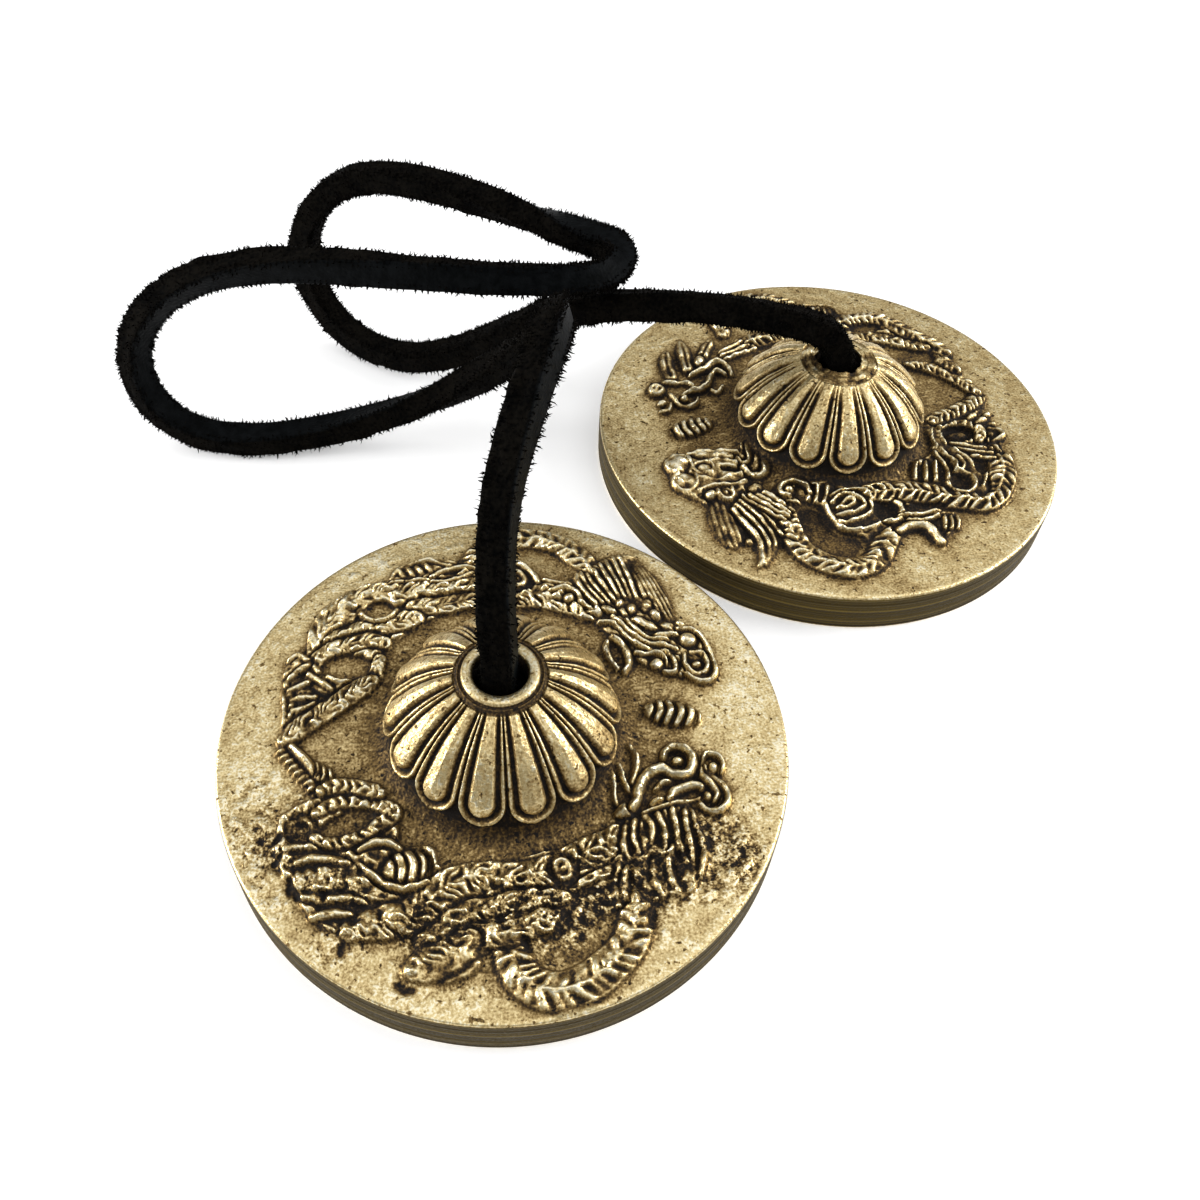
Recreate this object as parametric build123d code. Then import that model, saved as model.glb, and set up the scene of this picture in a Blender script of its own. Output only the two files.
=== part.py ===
from build123d import *

import math
import os

# A pair of cast hand cymbals joined by one leather thong. Each cymbal is a thick flat disc with a hollow
# petalled dome. The thong goes down through a bore in each dome and is knotted inside it.
# Sizes are in millimetres and angles in degrees. The cymbals lie on the table at Z = 0, the origin is
# midway between their centres, +X is to the right of a player facing +Y, and +Z is up.

# Thong and its fit in the cymbals
thong_diameter = 4.2
bore_clearance = 0.9
knot_overhang = 2.4
knot_seat_gap = 0.35
knot_tail_length = 3.0
front_exit_rise = 1.4
rear_exit_rise = 0.8

# Cymbal disc
rim_radius = 32.5
rim_height = 6.2
rim_edge_break = 0.4
land_width = 6.0
dish_depth = 1.2
dish_wall_run = 1.2

# Dome with its petals, and the collar round the bore
dome_rise = 12.2
dome_radius = 14.4
dome_wall = 2.0
cove_foot_radius = 16.4
petal_count = 14
petal_tip_inset = 1.0
petal_tip_rise = 3.2
petal_relief = 1.3
petal_flute_depth = 1.2
petal_line_radius = 0.45
collar_width = 1.5
collar_proud = 0.4
collar_groove_width = 0.6
collar_groove_depth = 0.9

# Ornament cast on the disc: how high its main masses stand, how deep they root, and the room it leaves at
# the rim's edge and takes from the cove
ornament_rise = 0.9
ornament_root = 0.3
ornament_rim_room = 0.2
ornament_cove_reach = 2.0

# Where the cymbals lie, as half the way between their centres along X and Y, and how far each dome's first
# petal, and the line from each centre to the pearl in its ornament, are turned from +X
half_spacing_x = 22.7
half_spacing_y = 25.85
front_petal_turn = 4.0
rear_petal_turn = 14.6
front_ornament_turn = 11.0
rear_ornament_turn = 186.0

# Main masses of the ornament, two dragons with a pearl between their heads, each seen from above with the
# pearl on the first axis. A band has a width and a line, a boss a place, two radii and a tilt, and a patch
# its corners.
front_bands = [
    # near dragon: neck loop, back, two coils, hind ring, tail and comb
    (3.3, [(10.0, -22.6), (7.9, -26.8), (3.2, -29.6), (-1.4, -29.2), (-3.3, -26.4), (-2.6, -23.4)]),
    (3.1, [(9.8, -15.2), (5.2, -16.8), (0.2, -17.9), (-7.4, -17.0), (-12.6, -19.4), (-19.0, -20.0)]),
    (1.9, [(2.8, -20.8), (-1.2, -20.2), (-5.2, -20.6)]),
    (2.3, [(2.0, -22.8), (-2.0, -23.2), (-8.2, -22.6)]),
    (1.5, [(-21.6, -6.4), (-18.0, -5.7), (-14.6, -6.8), (-13.6, -8.2), (-17.6, -10.0), (-22.0, -9.2)]),
    (2.8, [(-25.0, 2.6), (-23.3, -0.4), (-21.6, -3.2)]),
    (1.7, [(-20.8, -3.8), (-17.6, -4.0), (-14.6, -5.4)]),
    # far dragon: neck loop, back, hind leg, hind ring and comb tail
    (2.9, [(-0.8, 22.8), (2.0, 26.8), (6.6, 28.0), (11.2, 26.2), (14.3, 22.9), (15.0, 21.0)]),
    (3.2, [(13.6, 14.6), (10.0, 17.3), (5.0, 19.0), (-2.0, 21.0), (-12.0, 22.1), (-18.2, 19.2), (-20.2, 14.6)]),
    (2.2, [(-7.8, 17.6), (-12.0, 17.1), (-18.6, 15.8)]),
    (1.9, [(-12.0, 14.6), (-16.0, 15.2), (-20.4, 12.8), (-17.8, 9.3), (-13.8, 10.6)]),
    (2.3, [(-14.2, 9.5), (-18.5, 7.0), (-24.6, 3.5)]),
]
front_bosses = [
    # near dragon: haunch, foot, shell leaf, worn hind part and ring
    ((3.3, -17.8), 1.5, 1.9, 10.0),
    ((-10.2, -24.2), 2.7, 1.8, 25.0),
    ((-12.8, -14.6), 2.8, 2.2, 12.0),
    ((-20.4, -13.4), 4.6, 3.0, -14.0),
    ((-23.3, -7.9), 1.75, 1.6, 0.0),
    # far dragon: haunch, claw, leaf over the back, knee and mane leaf
    ((5.4, 21.6), 2.1, 2.5, 15.0),
    ((-7.0, 25.2), 3.2, 1.3, 8.0),
    ((-2.6, 23.7), 3.0, 1.0, 5.0),
    ((-17.4, 18.0), 2.6, 2.4, 40.0),
    ((21.9, 16.4), 1.65, 5.2, 13.0),
    # pearl
    ((19.6, -1.5), 3.1, 1.35, -21.0),
]
front_patches = [
    # near dragon: mane and head
    [(10.4, -14.0), (10.2, -18.0), (12.4, -22.4), (14.8, -23.0), (16.9, -21.2), (18.5, -17.0), (17.6, -13.2)],
    [(10.4, -7.4), (10.4, -13.0), (17.0, -13.0), (21.0, -14.6), (22.8, -13.0), (22.3, -10.4), (23.5, -8.8),
     (22.4, -7.3), (20.4, -7.6), (18.4, -5.7), (16.6, -7.9), (14.4, -8.2), (13.4, -5.0), (12.0, -7.4)],
    # far dragon: branches by the hind ring, mane strands and head
    [(-24.2, 11.4), (-22.4, 14.9), (-20.6, 13.4), (-20.6, 8.6), (-21.2, 7.4), (-23.8, 6.8)],
    [(14.4, 15.0), (12.8, 18.0), (13.0, 20.9), (17.2, 22.6), (19.4, 22.3), (20.4, 15.0)],
    [(14.0, 12.6), (14.8, 15.2), (21.8, 15.2), (23.2, 10.0), (25.2, 9.5), (26.5, 6.0), (26.3, 2.8), (24.8, 1.8),
     (22.4, 3.0), (19.0, 4.6), (16.9, 7.4), (15.8, 5.0), (14.2, 6.0)],
]
rear_bands = [
    # near dragon: neck loop, belly, back, claw, leg, hind ring and tail
    (3.4, [(10.2, 17.6), (9.5, 23.2), (5.4, 27.1), (1.4, 26.8), (-2.0, 23.4), (-4.5, 21.6)]),
    (3.0, [(6.4, 15.0), (-0.5, 15.3), (-8.5, 15.9)]),
    (4.0, [(-7.5, 16.0), (-13.5, 17.5), (-18.5, 17.4), (-21.5, 12.8), (-21.6, 7.4)]),
    (1.9, [(-3.4, 21.2), (-6.2, 21.2), (-8.6, 22.4), (-8.9, 24.2)]),
    (2.1, [(-17.0, 16.2), (-18.2, 12.4), (-15.2, 6.9), (-15.5, 2.6)]),
    (1.5, [(-21.9, 7.6), (-22.0, 4.6), (-18.4, 2.7), (-15.4, 3.4)]),
    (2.3, [(-15.2, 2.4), (-20.0, 0.3), (-24.4, -2.6)]),
    # far dragon: tail, hind leg, back, inner coil, forward part of the back, neck loop and mane leaves
    (2.0, [(-24.0, -3.2), (-20.8, -7.8), (-16.0, -10.8)]),
    (2.4, [(-22.6, -8.6), (-21.8, -10.2), (-21.0, -11.8)]),
    (2.7, [(-22.4, -12.6), (-18.2, -18.0), (-13.0, -21.6), (-6.8, -20.6)]),
    (1.9, [(-19.8, -14.0), (-14.4, -16.6), (-8.6, -18.4)]),
    (2.6, [(-6.4, -20.4), (1.2, -19.6), (8.4, -17.4)]),
    (2.9, [(-1.8, -23.4), (-0.6, -27.0), (3.2, -28.5), (8.0, -26.7), (10.4, -20.8)]),
    (1.7, [(15.2, -14.6), (14.0, -17.2), (12.3, -20.0)]),
    (2.0, [(17.6, -13.0), (17.5, -16.4), (17.5, -20.0)]),
    (2.0, [(20.4, -10.0), (20.6, -14.0), (20.1, -17.8)]),
]
rear_bosses = [
    # near dragon: haunch, knee and mane leaf
    ((0.9, 17.6), 4.0, 3.4, 20.0),
    ((-15.4, 14.2), 2.5, 2.3, 0.0),
    ((18.5, 18.4), 2.25, 4.4, 4.0),
    # far dragon: claw and cheek
    ((-5.2, -24.4), 3.0, 1.7, 5.0),
    ((15.6, -14.0), 1.0, 1.6, -20.0),
    # pearl
    ((19.5, -0.4), 3.1, 1.35, 14.0),
]
rear_patches = [
    # near dragon: shin, mane strands and head
    [(-14.4, 12.8), (-13.4, 14.4), (-10.0, 13.9), (-11.3, 10.0), (-13.6, 8.0)],
    [(13.2, 13.6), (9.8, 16.8), (11.6, 22.0), (15.8, 25.5), (16.6, 20.0), (17.0, 13.9)],
    [(12.0, 9.6), (12.4, 12.8), (14.6, 14.0), (20.4, 14.2), (22.8, 12.6), (24.5, 10.4), (25.1, 7.0), (23.4, 5.1),
     (18.0, 5.9), (14.2, 6.4)],
    # far dragon: leg fan and head
    [(6.0, -16.6), (8.0, -18.4), (12.0, -16.2), (12.2, -13.6)],
    [(11.0, -10.6), (12.2, -14.1), (14.0, -14.0), (17.6, -12.0), (20.0, -10.7), (23.6, -10.7), (24.9, -9.0),
     (24.2, -7.0), (23.4, -3.9), (19.0, -4.4), (17.0, -6.0), (16.0, -8.0), (14.2, -10.6), (12.8, -11.4)],
]

# Route of the thong between the two bores. It rises from the front bore, arches over, stands on the table
# in two upright loops with a tight fold between them, and comes down on the rear bore.
thong_route = [
    (-23.0, -24.0, 26.0),
    (-23.0, -20.4, 32.4),
    (-22.2, -16.6, 37.6),
    (-20.6, -12.6, 41.8),
    (-18.9, -8.2, 45.0),
    (-17.4, -3.4, 46.4),
    (-16.8, 2.2, 44.4),
    (-16.8, 7.2, 40.2),
    (-17.4, 12.2, 34.4),
    (-19.4, 17.8, 27.0),
    (-23.8, 22.8, 19.6),
    (-30.4, 25.8, 12.4),
    (-39.6, 27.0, 6.6),
    (-49.8, 27.0, 3.2),
    (-59.4, 25.8, 2.4),
    (-67.6, 26.2, 2.7),
    (-73.6, 27.6, 5.8),
    (-76.2, 28.6, 11.6),
    (-75.4, 29.4, 18.2),
    (-71.4, 30.2, 24.0),
    (-64.8, 30.6, 28.4),
    (-55.4, 30.0, 30.8),
    (-44.6, 28.2, 31.8),
    (-33.0, 26.0, 32.2),
    (-22.4, 25.0, 32.0),
    (-14.8, 25.4, 31.6),
    (-10.2, 26.8, 31.2),
    (-7.6, 30.0, 31.0),
    (-8.4, 34.2, 30.8),
    (-13.2, 37.2, 30.4),
    (-20.0, 41.2, 30.6),
    (-28.2, 45.2, 31.4),
    (-36.6, 49.0, 31.6),
    (-44.2, 52.2, 30.2),
    (-50.6, 53.8, 26.4),
    (-54.6, 54.0, 20.0),
    (-55.4, 54.0, 12.4),
    (-53.2, 52.4, 6.0),
    (-47.6, 48.0, 2.6),
    (-39.6, 43.6, 2.8),
    (-31.4, 40.6, 6.6),
    (-24.8, 36.6, 13.0),
    (-18.4, 32.6, 19.6),
    (-11.8, 29.0, 24.6),
    (-4.8, 26.6, 26.8),
    (2.8, 25.8, 27.0),
    (10.0, 25.5, 26.0),
    (16.0, 25.4, 24.5),
    (20.1, 25.8, 23.0),
]
# The thong's two end stretches bend as the cymbals rock, and hold this many points of the whole route.
front_end_points = 4
rear_end_points = 5
arc_share = 0.45

# Sizes and places that follow from those above
front_center = Vector(-half_spacing_x, -half_spacing_y, 0)
rear_center = Vector(half_spacing_x, half_spacing_y, 0)
thong_radius = thong_diameter / 2
bore_radius = thong_radius + bore_clearance
collar_radius = bore_radius + collar_width
petal_inner_radius = collar_radius + collar_groove_width
core_radius = dome_radius - petal_relief
cavity_radius = core_radius - dome_wall
petal_tip_radius = dome_radius - petal_tip_inset
crown_height = rim_height + dome_rise
dome_center_height = crown_height - collar_proud - math.sqrt(dome_radius**2 - petal_inner_radius**2)
petal_tip_height = rim_height + petal_tip_rise
roof_height = dome_center_height + math.sqrt(cavity_radius**2 - bore_radius**2)
knot_radius = bore_radius + knot_overhang
knot_center_height = roof_height - math.sqrt((knot_radius + knot_seat_gap) ** 2 - bore_radius**2)
knot_neck_radius = (thong_radius + bore_radius) / 2
knot_neck_height = knot_center_height + math.sqrt(knot_radius**2 - knot_neck_radius**2)
knot_tail_height = knot_center_height - math.sqrt(knot_radius**2 - thong_radius**2)


def dome_point(radius, elevation):
    """Point of a dome's section, on an arc of this radius about the dome's centre."""
    angle = math.radians(elevation)
    return (radius * math.cos(angle), dome_center_height + radius * math.sin(angle))


def dome_arc(radius, start_elevation, end_elevation):
    """Arc of a dome's section between two elevations."""
    middle_elevation = (start_elevation + end_elevation) / 2
    return ThreePointArc(
        dome_point(radius, start_elevation),
        dome_point(radius, middle_elevation),
        dome_point(radius, end_elevation),
    )


def cymbal_casting():
    """Disc, plain dome, bore and collar, turned from one section."""
    core_top = math.degrees(math.acos(petal_inner_radius / core_radius))
    core_foot = math.degrees(math.asin((petal_tip_height - dome_center_height) / core_radius))
    roof_edge = math.degrees(math.acos(bore_radius / cavity_radius))
    cove_foot = (cove_foot_radius, rim_height)
    land_inner_radius = rim_radius - land_width
    groove_floor = crown_height - collar_groove_depth
    with BuildPart() as casting:
        with BuildSketch(Plane.XZ):
            with BuildLine():
                Polyline(
                    (bore_radius, roof_height),
                    (bore_radius, crown_height),
                    (collar_radius, crown_height),
                    (collar_radius, groove_floor),
                    (petal_inner_radius, groove_floor),
                    dome_point(core_radius, core_top),
                )
                dome_arc(core_radius, core_top, core_foot)
                TangentArc(cove_foot, dome_point(core_radius, core_foot), tangent=(-1, 0))
                Polyline(
                    cove_foot,
                    (rim_radius - rim_edge_break, rim_height),
                    (rim_radius, rim_height - rim_edge_break),
                    (rim_radius, rim_edge_break),
                    (rim_radius - rim_edge_break, 0),
                    (land_inner_radius, 0),
                    (land_inner_radius - dish_wall_run, dish_depth),
                    (cavity_radius, dish_depth),
                    (cavity_radius, dome_center_height),
                )
                dome_arc(cavity_radius, 0, roof_edge)
            make_face()
        revolve(axis=Axis.Z)
    return casting.part


def dome_point_above_x(radius, elevation):
    """Point of the dome above the X axis."""
    across, up = dome_point(radius, elevation)
    return (across, 0, up)


def petal_line():
    """Cutter for the sunk line between two petals, from the collar's groove down to their tips."""
    line_top = math.degrees(math.acos(collar_radius / dome_radius))
    line_foot = math.degrees(math.acos(petal_tip_radius / dome_radius))
    up_the_dome = (-math.sin(math.radians(line_foot)), 0, math.cos(math.radians(line_foot)))
    start = Plane(dome_point_above_x(dome_radius, line_foot), x_dir=(0, 1, 0), z_dir=up_the_dome)
    with BuildPart() as line:
        with BuildSketch(start):
            Circle(petal_line_radius)
        revolve(axis=Axis((0, 0, dome_center_height), (0, -1, 0)), revolution_arc=line_top - line_foot)
    return line.part


def petal_ring():
    """Petals of the dome: round-tipped flutes with a sunk line between neighbours up to the collar."""
    petal_pitch = 360 / petal_count
    cusp_radius = petal_tip_radius - petal_flute_depth
    cusp_across = cusp_radius * math.cos(math.radians(petal_pitch / 2))
    tip_place = (petal_tip_radius**2 - cusp_radius**2) / (2 * (petal_tip_radius - cusp_across))
    with BuildPart() as petals:
        with BuildSketch(Plane.XY.offset(petal_tip_height)):
            Circle(cusp_radius)
            with PolarLocations(tip_place, petal_count):
                Circle(petal_tip_radius - tip_place)
            Circle(petal_inner_radius, mode=Mode.SUBTRACT)
        extrude(amount=dome_rise)
        with Locations((0, 0, dome_center_height)):
            Sphere(dome_radius, mode=Mode.INTERSECT)
            Sphere(core_radius - dome_wall / 2, mode=Mode.SUBTRACT)
    line = petal_line()
    return petals.part - [Rot(0, 0, (index + 0.5) * petal_pitch) * line for index in range(petal_count)]


def band_face(width, points):
    """Flat band of even width along a smooth line."""
    line = Spline(*points)
    shares = [index / (2 * len(points) - 2) for index in range(2 * len(points) - 1)]
    aside = [(line % share).rotate(Axis.Z, 90) * (width / 2) for share in shares]
    left = [line @ share + step for share, step in zip(shares, aside)]
    right = [line @ share - step for share, step in zip(shares, aside)]
    return make_face([Spline(*left), Line(left[-1], right[-1]), Spline(*right), Line(right[0], left[0])])


def ornament(bands, bosses, patches):
    """Main masses of the two dragons and the pearl, rooted in the disc."""
    faces = [band_face(width, points) for width, points in bands]
    faces += [Pos(*place) * Rot(0, 0, tilt) * Ellipse(rx, ry) for place, rx, ry, tilt in bosses]
    faces += [make_face(Polyline(*corners, close=True)) for corners in patches]
    outer_radius = rim_radius - rim_edge_break - ornament_rim_room
    ring = Circle(outer_radius) - Circle(cove_foot_radius - ornament_cove_reach)
    masses = (faces[0] + faces[1:]) & ring
    return Pos(0, 0, rim_height - ornament_root) * extrude(masses, amount=ornament_root + ornament_rise)


def cymbal(center, petal_turn, relief, ornament_turn):
    """One whole cymbal in its place."""
    shape = Rot(0, 0, petal_turn) * (cymbal_casting() + petal_ring())
    return Pos(center) * (shape + Rot(0, 0, ornament_turn) * relief)


def knot(center):
    """Stopper knot under the dome's roof, with the thong's cut end hanging from it."""
    neck_elevation = math.degrees(math.acos(knot_neck_radius / knot_radius))
    tail_elevation = math.degrees(math.acos(thong_radius / knot_radius))
    tail_end = knot_tail_height - knot_tail_length

    def point(elevation):
        angle = math.radians(elevation)
        return (knot_radius * math.cos(angle), knot_center_height + knot_radius * math.sin(angle))

    with BuildPart() as body:
        with BuildSketch(Plane.XZ):
            with BuildLine():
                Polyline((0, tail_end), (0, knot_neck_height), point(neck_elevation))
                ThreePointArc(point(neck_elevation), point(0), point(-tail_elevation))
                Polyline(point(-tail_elevation), (thong_radius, tail_end), (0, tail_end))
            make_face()
        revolve(axis=Axis.Z)
    return Pos(center) * body.part


def bend_radii(points):
    """Largest even arc that each corner of the route has room for."""
    radii = []
    for before, corner, after in zip(points, points[1:], points[2:]):
        run_in = corner - before
        run_out = after - corner
        half_turn = math.radians(run_in.get_angle(run_out) / 2)
        radii.append(arc_share * min(run_in.length, run_out.length) / math.tan(half_turn))
    return radii


def tube(points, radii):
    """Tube along straight runs joined by tangent arcs."""
    path = FilletPolyline(*points, radius=radii)
    section = Plane(path @ 0, z_dir=path % 0) * Circle(thong_radius)
    stretch = sweep(section, path=path)
    ratio = stretch.volume / (section.area * path.length)
    return stretch, path.length, ratio


def thong_stretches():
    """The thong in three stretches that meet face to face in the middle of a run."""
    neck = Vector(0, 0, knot_neck_height)
    front_exit = Vector(0, 0, crown_height + front_exit_rise)
    rear_exit = Vector(0, 0, crown_height + rear_exit_rise)
    free_points = [Vector(*point) for point in thong_route]
    front_points = [front_center + neck, front_center + front_exit]
    rear_points = [rear_center + rear_exit, rear_center + neck]
    points = front_points + free_points + rear_points
    radii = bend_radii(points)
    first = front_end_points
    last = len(points) - rear_end_points
    front_cut = (points[first - 1] + points[first]) / 2
    rear_cut = (points[last - 1] + points[last]) / 2
    stretches = {
        "thong_front_end": tube(points[:first] + [front_cut], radii[: first - 1]),
        "thong_loops": tube([front_cut] + points[first:last] + [rear_cut], radii[first - 1 : last - 1]),
        "thong_rear_end": tube([rear_cut] + points[last:], radii[last - 1 :]),
    }
    print("thong bend radii", [round(radius, 1) for radius in radii])
    for name, (shape, length, ratio) in stretches.items():
        print(name, "length", round(length, 1), "volume over section times length", round(ratio, 4))
    print("thong length", round(sum(length for shape, length, ratio in stretches.values()), 1))
    return {name: shape for name, (shape, length, ratio) in stretches.items()}


front_relief = ornament(front_bands, front_bosses, front_patches)
rear_relief = ornament(rear_bands, rear_bosses, rear_patches)
nodes = {
    "front_cymbal": cymbal(front_center, front_petal_turn, front_relief, front_ornament_turn),
    "rear_cymbal": cymbal(rear_center, rear_petal_turn, rear_relief, rear_ornament_turn),
    "front_knot": knot(front_center),
    "rear_knot": knot(rear_center),
}
nodes.update(thong_stretches())

os.makedirs("parts", exist_ok=True)
for name, shape in nodes.items():
    export_step(shape, f"parts/{name}.step")
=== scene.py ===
import math

import bpy
import numpy as np
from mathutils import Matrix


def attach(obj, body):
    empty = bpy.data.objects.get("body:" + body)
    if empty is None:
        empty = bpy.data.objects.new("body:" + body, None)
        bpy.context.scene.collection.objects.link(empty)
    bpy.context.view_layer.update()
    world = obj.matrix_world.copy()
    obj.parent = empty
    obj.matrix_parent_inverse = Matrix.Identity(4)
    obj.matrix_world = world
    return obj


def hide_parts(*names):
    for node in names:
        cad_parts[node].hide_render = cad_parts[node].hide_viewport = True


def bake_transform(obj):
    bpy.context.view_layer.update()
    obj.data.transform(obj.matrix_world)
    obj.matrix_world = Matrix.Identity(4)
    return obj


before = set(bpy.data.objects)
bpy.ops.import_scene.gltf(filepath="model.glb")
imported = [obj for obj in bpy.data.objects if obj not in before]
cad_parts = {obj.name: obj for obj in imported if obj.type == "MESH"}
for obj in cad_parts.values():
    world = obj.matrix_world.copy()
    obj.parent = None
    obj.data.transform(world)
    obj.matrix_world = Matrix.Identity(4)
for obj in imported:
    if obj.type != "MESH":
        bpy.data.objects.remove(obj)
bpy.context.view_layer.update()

MM = 0.001
scene = bpy.context.scene
rng = np.random.default_rng(7)

# Where things are, from the part's source, in metres
FRONT = np.array((-0.0227, -0.02585, 0.0))
REAR = np.array((0.0227, 0.02585, 0.0))
NECK_Z = 0.01507
FRONT_EXIT_Z = 0.0198
REAR_EXIT_Z = 0.0192
ROUTE = [
    (-0.0230, -0.0240, 0.0260),
    (-0.0230, -0.0204, 0.0324),
    (-0.0222, -0.0166, 0.0376),
    (-0.0206, -0.0126, 0.0418),
    (-0.0189, -0.0082, 0.0450),
    (-0.0174, -0.0034, 0.0464),
    (-0.0168, 0.0022, 0.0444),
    (-0.0168, 0.0072, 0.0402),
    (-0.0174, 0.0122, 0.0344),
    (-0.0194, 0.0178, 0.0270),
    (-0.0238, 0.0228, 0.0196),
    (-0.0304, 0.0258, 0.0124),
    (-0.0396, 0.0270, 0.0066),
    (-0.0498, 0.0270, 0.0032),
    (-0.0594, 0.0258, 0.0024),
    (-0.0676, 0.0262, 0.0027),
    (-0.0736, 0.0276, 0.0058),
    (-0.0762, 0.0286, 0.0116),
    (-0.0754, 0.0294, 0.0182),
    (-0.0714, 0.0302, 0.0240),
    (-0.0648, 0.0306, 0.0284),
    (-0.0554, 0.0300, 0.0308),
    (-0.0446, 0.0282, 0.0318),
    (-0.0330, 0.0260, 0.0322),
    (-0.0224, 0.0250, 0.0320),
    (-0.0148, 0.0254, 0.0316),
    (-0.0102, 0.0268, 0.0312),
    (-0.0076, 0.0300, 0.0310),
    (-0.0084, 0.0342, 0.0308),
    (-0.0132, 0.0372, 0.0304),
    (-0.0200, 0.0412, 0.0306),
    (-0.0282, 0.0452, 0.0314),
    (-0.0366, 0.0490, 0.0316),
    (-0.0442, 0.0522, 0.0302),
    (-0.0506, 0.0538, 0.0264),
    (-0.0546, 0.0540, 0.0200),
    (-0.0554, 0.0540, 0.0124),
    (-0.0532, 0.0524, 0.0060),
    (-0.0476, 0.0480, 0.0026),
    (-0.0396, 0.0436, 0.0028),
    (-0.0314, 0.0406, 0.0066),
    (-0.0248, 0.0366, 0.0130),
    (-0.0184, 0.0326, 0.0196),
    (-0.0118, 0.0290, 0.0246),
    (-0.0048, 0.0266, 0.0268),
    (0.0028, 0.0258, 0.0270),
    (0.0100, 0.0255, 0.0260),
    (0.0160, 0.0254, 0.0245),
    (0.0201, 0.0258, 0.0230),
]
# Which way the thong's smooth grain face looks at some places along it: share of the length, direction
GRAIN_FACES = [
    (0.00, (1.00, -0.10, 0.0)),
    (0.06, (0.96, -0.25, 0.1)),
    (0.10, (0.85, -0.45, 0.3)),
    (0.14, (0.85, -0.20, 0.5)),
    (0.20, (0.60, 0.60, 0.5)),
    (0.26, (-0.30, 0.10, 0.9)),
    (0.31, (0.00, -0.10, 1.0)),
    (0.36, (0.25, -0.15, 0.9)),
    (0.41, (0.85, -0.50, 0.0)),
    (0.45, (0.40, -0.85, 0.0)),
    (0.50, (0.00, -0.90, 0.35)),
    (0.56, (0.00, -0.85, 0.50)),
    (0.59, (0.45, -0.80, 0.35)),
    (0.61, (0.95, -0.10, 0.25)),
    (0.63, (0.55, 0.80, 0.15)),
    (0.70, (0.45, 0.88, 0.0)),
    (0.78, (0.60, 0.75, 0.0)),
    (0.86, (0.50, 0.80, 0.3)),
    (0.93, (0.00, 0.80, -0.6)),
    (1.00, (0.00, 1.00, 0.0)),
]


def new_object(name, verts, faces, attributes=None):
    """Smooth mesh object from lists of points and faces, with float values kept at its points."""
    mesh = bpy.data.meshes.new(name)
    mesh.from_pydata([tuple(v) for v in verts], [], [tuple(int(i) for i in f) for f in faces])
    for key, values in (attributes or {}).items():
        layer = mesh.attributes.new(key, "FLOAT", "POINT")
        layer.data.foreach_set("value", np.asarray(values, np.float32))
    mesh.polygons.foreach_set("use_smooth", [True] * len(mesh.polygons))
    mesh.update()
    obj = bpy.data.objects.new(name, mesh)
    scene.collection.objects.link(obj)
    return obj


# Camera at the photograph's viewing angle, fitted to the rims and bores
CAMERA_PLACE = (-0.018459, -0.096481, 0.121595)
CAMERA_TILT = 42.796
CAMERA_LENS = 34.713
CAMERA_SHIFT = (0.05, -0.0833)


def photograph_camera():
    data = bpy.data.cameras.new("camera")
    data.sensor_width = 36.0
    data.lens = CAMERA_LENS
    data.shift_x, data.shift_y = CAMERA_SHIFT
    data.clip_start = 0.005
    data.clip_end = 20.0
    camera = bpy.data.objects.new("camera", data)
    camera.location = CAMERA_PLACE
    camera.rotation_euler = (math.radians(CAMERA_TILT), 0.0, 0.0)
    scene.collection.objects.link(camera)
    scene.camera = camera


photograph_camera()


# Lines and numbers along them
def spline_points(points, resolution):
    """Points of the smooth line whose control points are these."""
    curve = bpy.data.curves.new("line", "CURVE")
    curve.dimensions = "3D"
    curve.resolution_u = resolution
    spline = curve.splines.new("NURBS")
    spline.points.add(len(points) - 1)
    for point, place in zip(spline.points, points):
        point.co = (*place, 1.0)
    spline.order_u = 3
    spline.use_endpoint_u = True
    holder = bpy.data.objects.new("line", curve)
    scene.collection.objects.link(holder)
    mesh = bpy.data.meshes.new_from_object(holder)
    found = np.array([v.co[:] for v in mesh.vertices])
    bpy.data.objects.remove(holder)
    bpy.data.curves.remove(curve)
    bpy.data.meshes.remove(mesh)
    return found


def unit(v):
    return v / np.linalg.norm(v, axis=-1, keepdims=True)


def turned(points, degrees):
    """Points of a plane, turned about its origin."""
    c, s = math.cos(math.radians(degrees)), math.sin(math.radians(degrees))
    points = np.asarray(points, float)
    x, y = points[..., 0], points[..., 1]
    return np.stack([c * x - s * y, s * x + c * y], -1)


def smooth_rows(values, times):
    """Evens out values along the first axis."""
    for _ in range(times):
        padded = np.concatenate([values[:1], values, values[-1:]])
        values = (padded[:-2] + 2 * padded[1:-1] + padded[2:]) / 4
    return values


def run_along(points):
    """Length along a line at each of its points."""
    return np.concatenate([[0.0], np.cumsum(np.linalg.norm(np.diff(points, axis=0), axis=1))])


def carried_frame(points, first):
    """Directions along a line, and a direction across it that is carried along without twisting."""
    ahead = unit(np.gradient(points, axis=0))
    across = [unit(np.array(first) - ahead[0] * (ahead[0] @ first))]
    for direction in ahead[1:]:
        across.append(unit(across[-1] - direction * (across[-1] @ direction)))
    return ahead, np.array(across)


# Thong: a strip of leather with a smooth grain face and rough suede on its other faces
FIRST_ACROSS = (0.75, -0.66, 0.0)
STRIP_HALF_WIDTH = 1.9 * MM
STRIP_HALF_THICK = 1.75 * MM
GRAIN_CORNER = 0.35 * MM
FLESH_CORNER = 0.6 * MM
SUEDE_LUMPS = 0.24
SUEDE_WAVES = 0.05
FIBRE_SHORTEST = 0.22
FIBRE_SPREAD = 0.2
FIBRE_LONGEST = 1.0
FIBRE_THICKNESS = (0.05, 0.14)
FIBRE_ROOT = 0.1 * MM
FLOOR_ROOM = 0.1 * MM
CUT = 0.036

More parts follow.
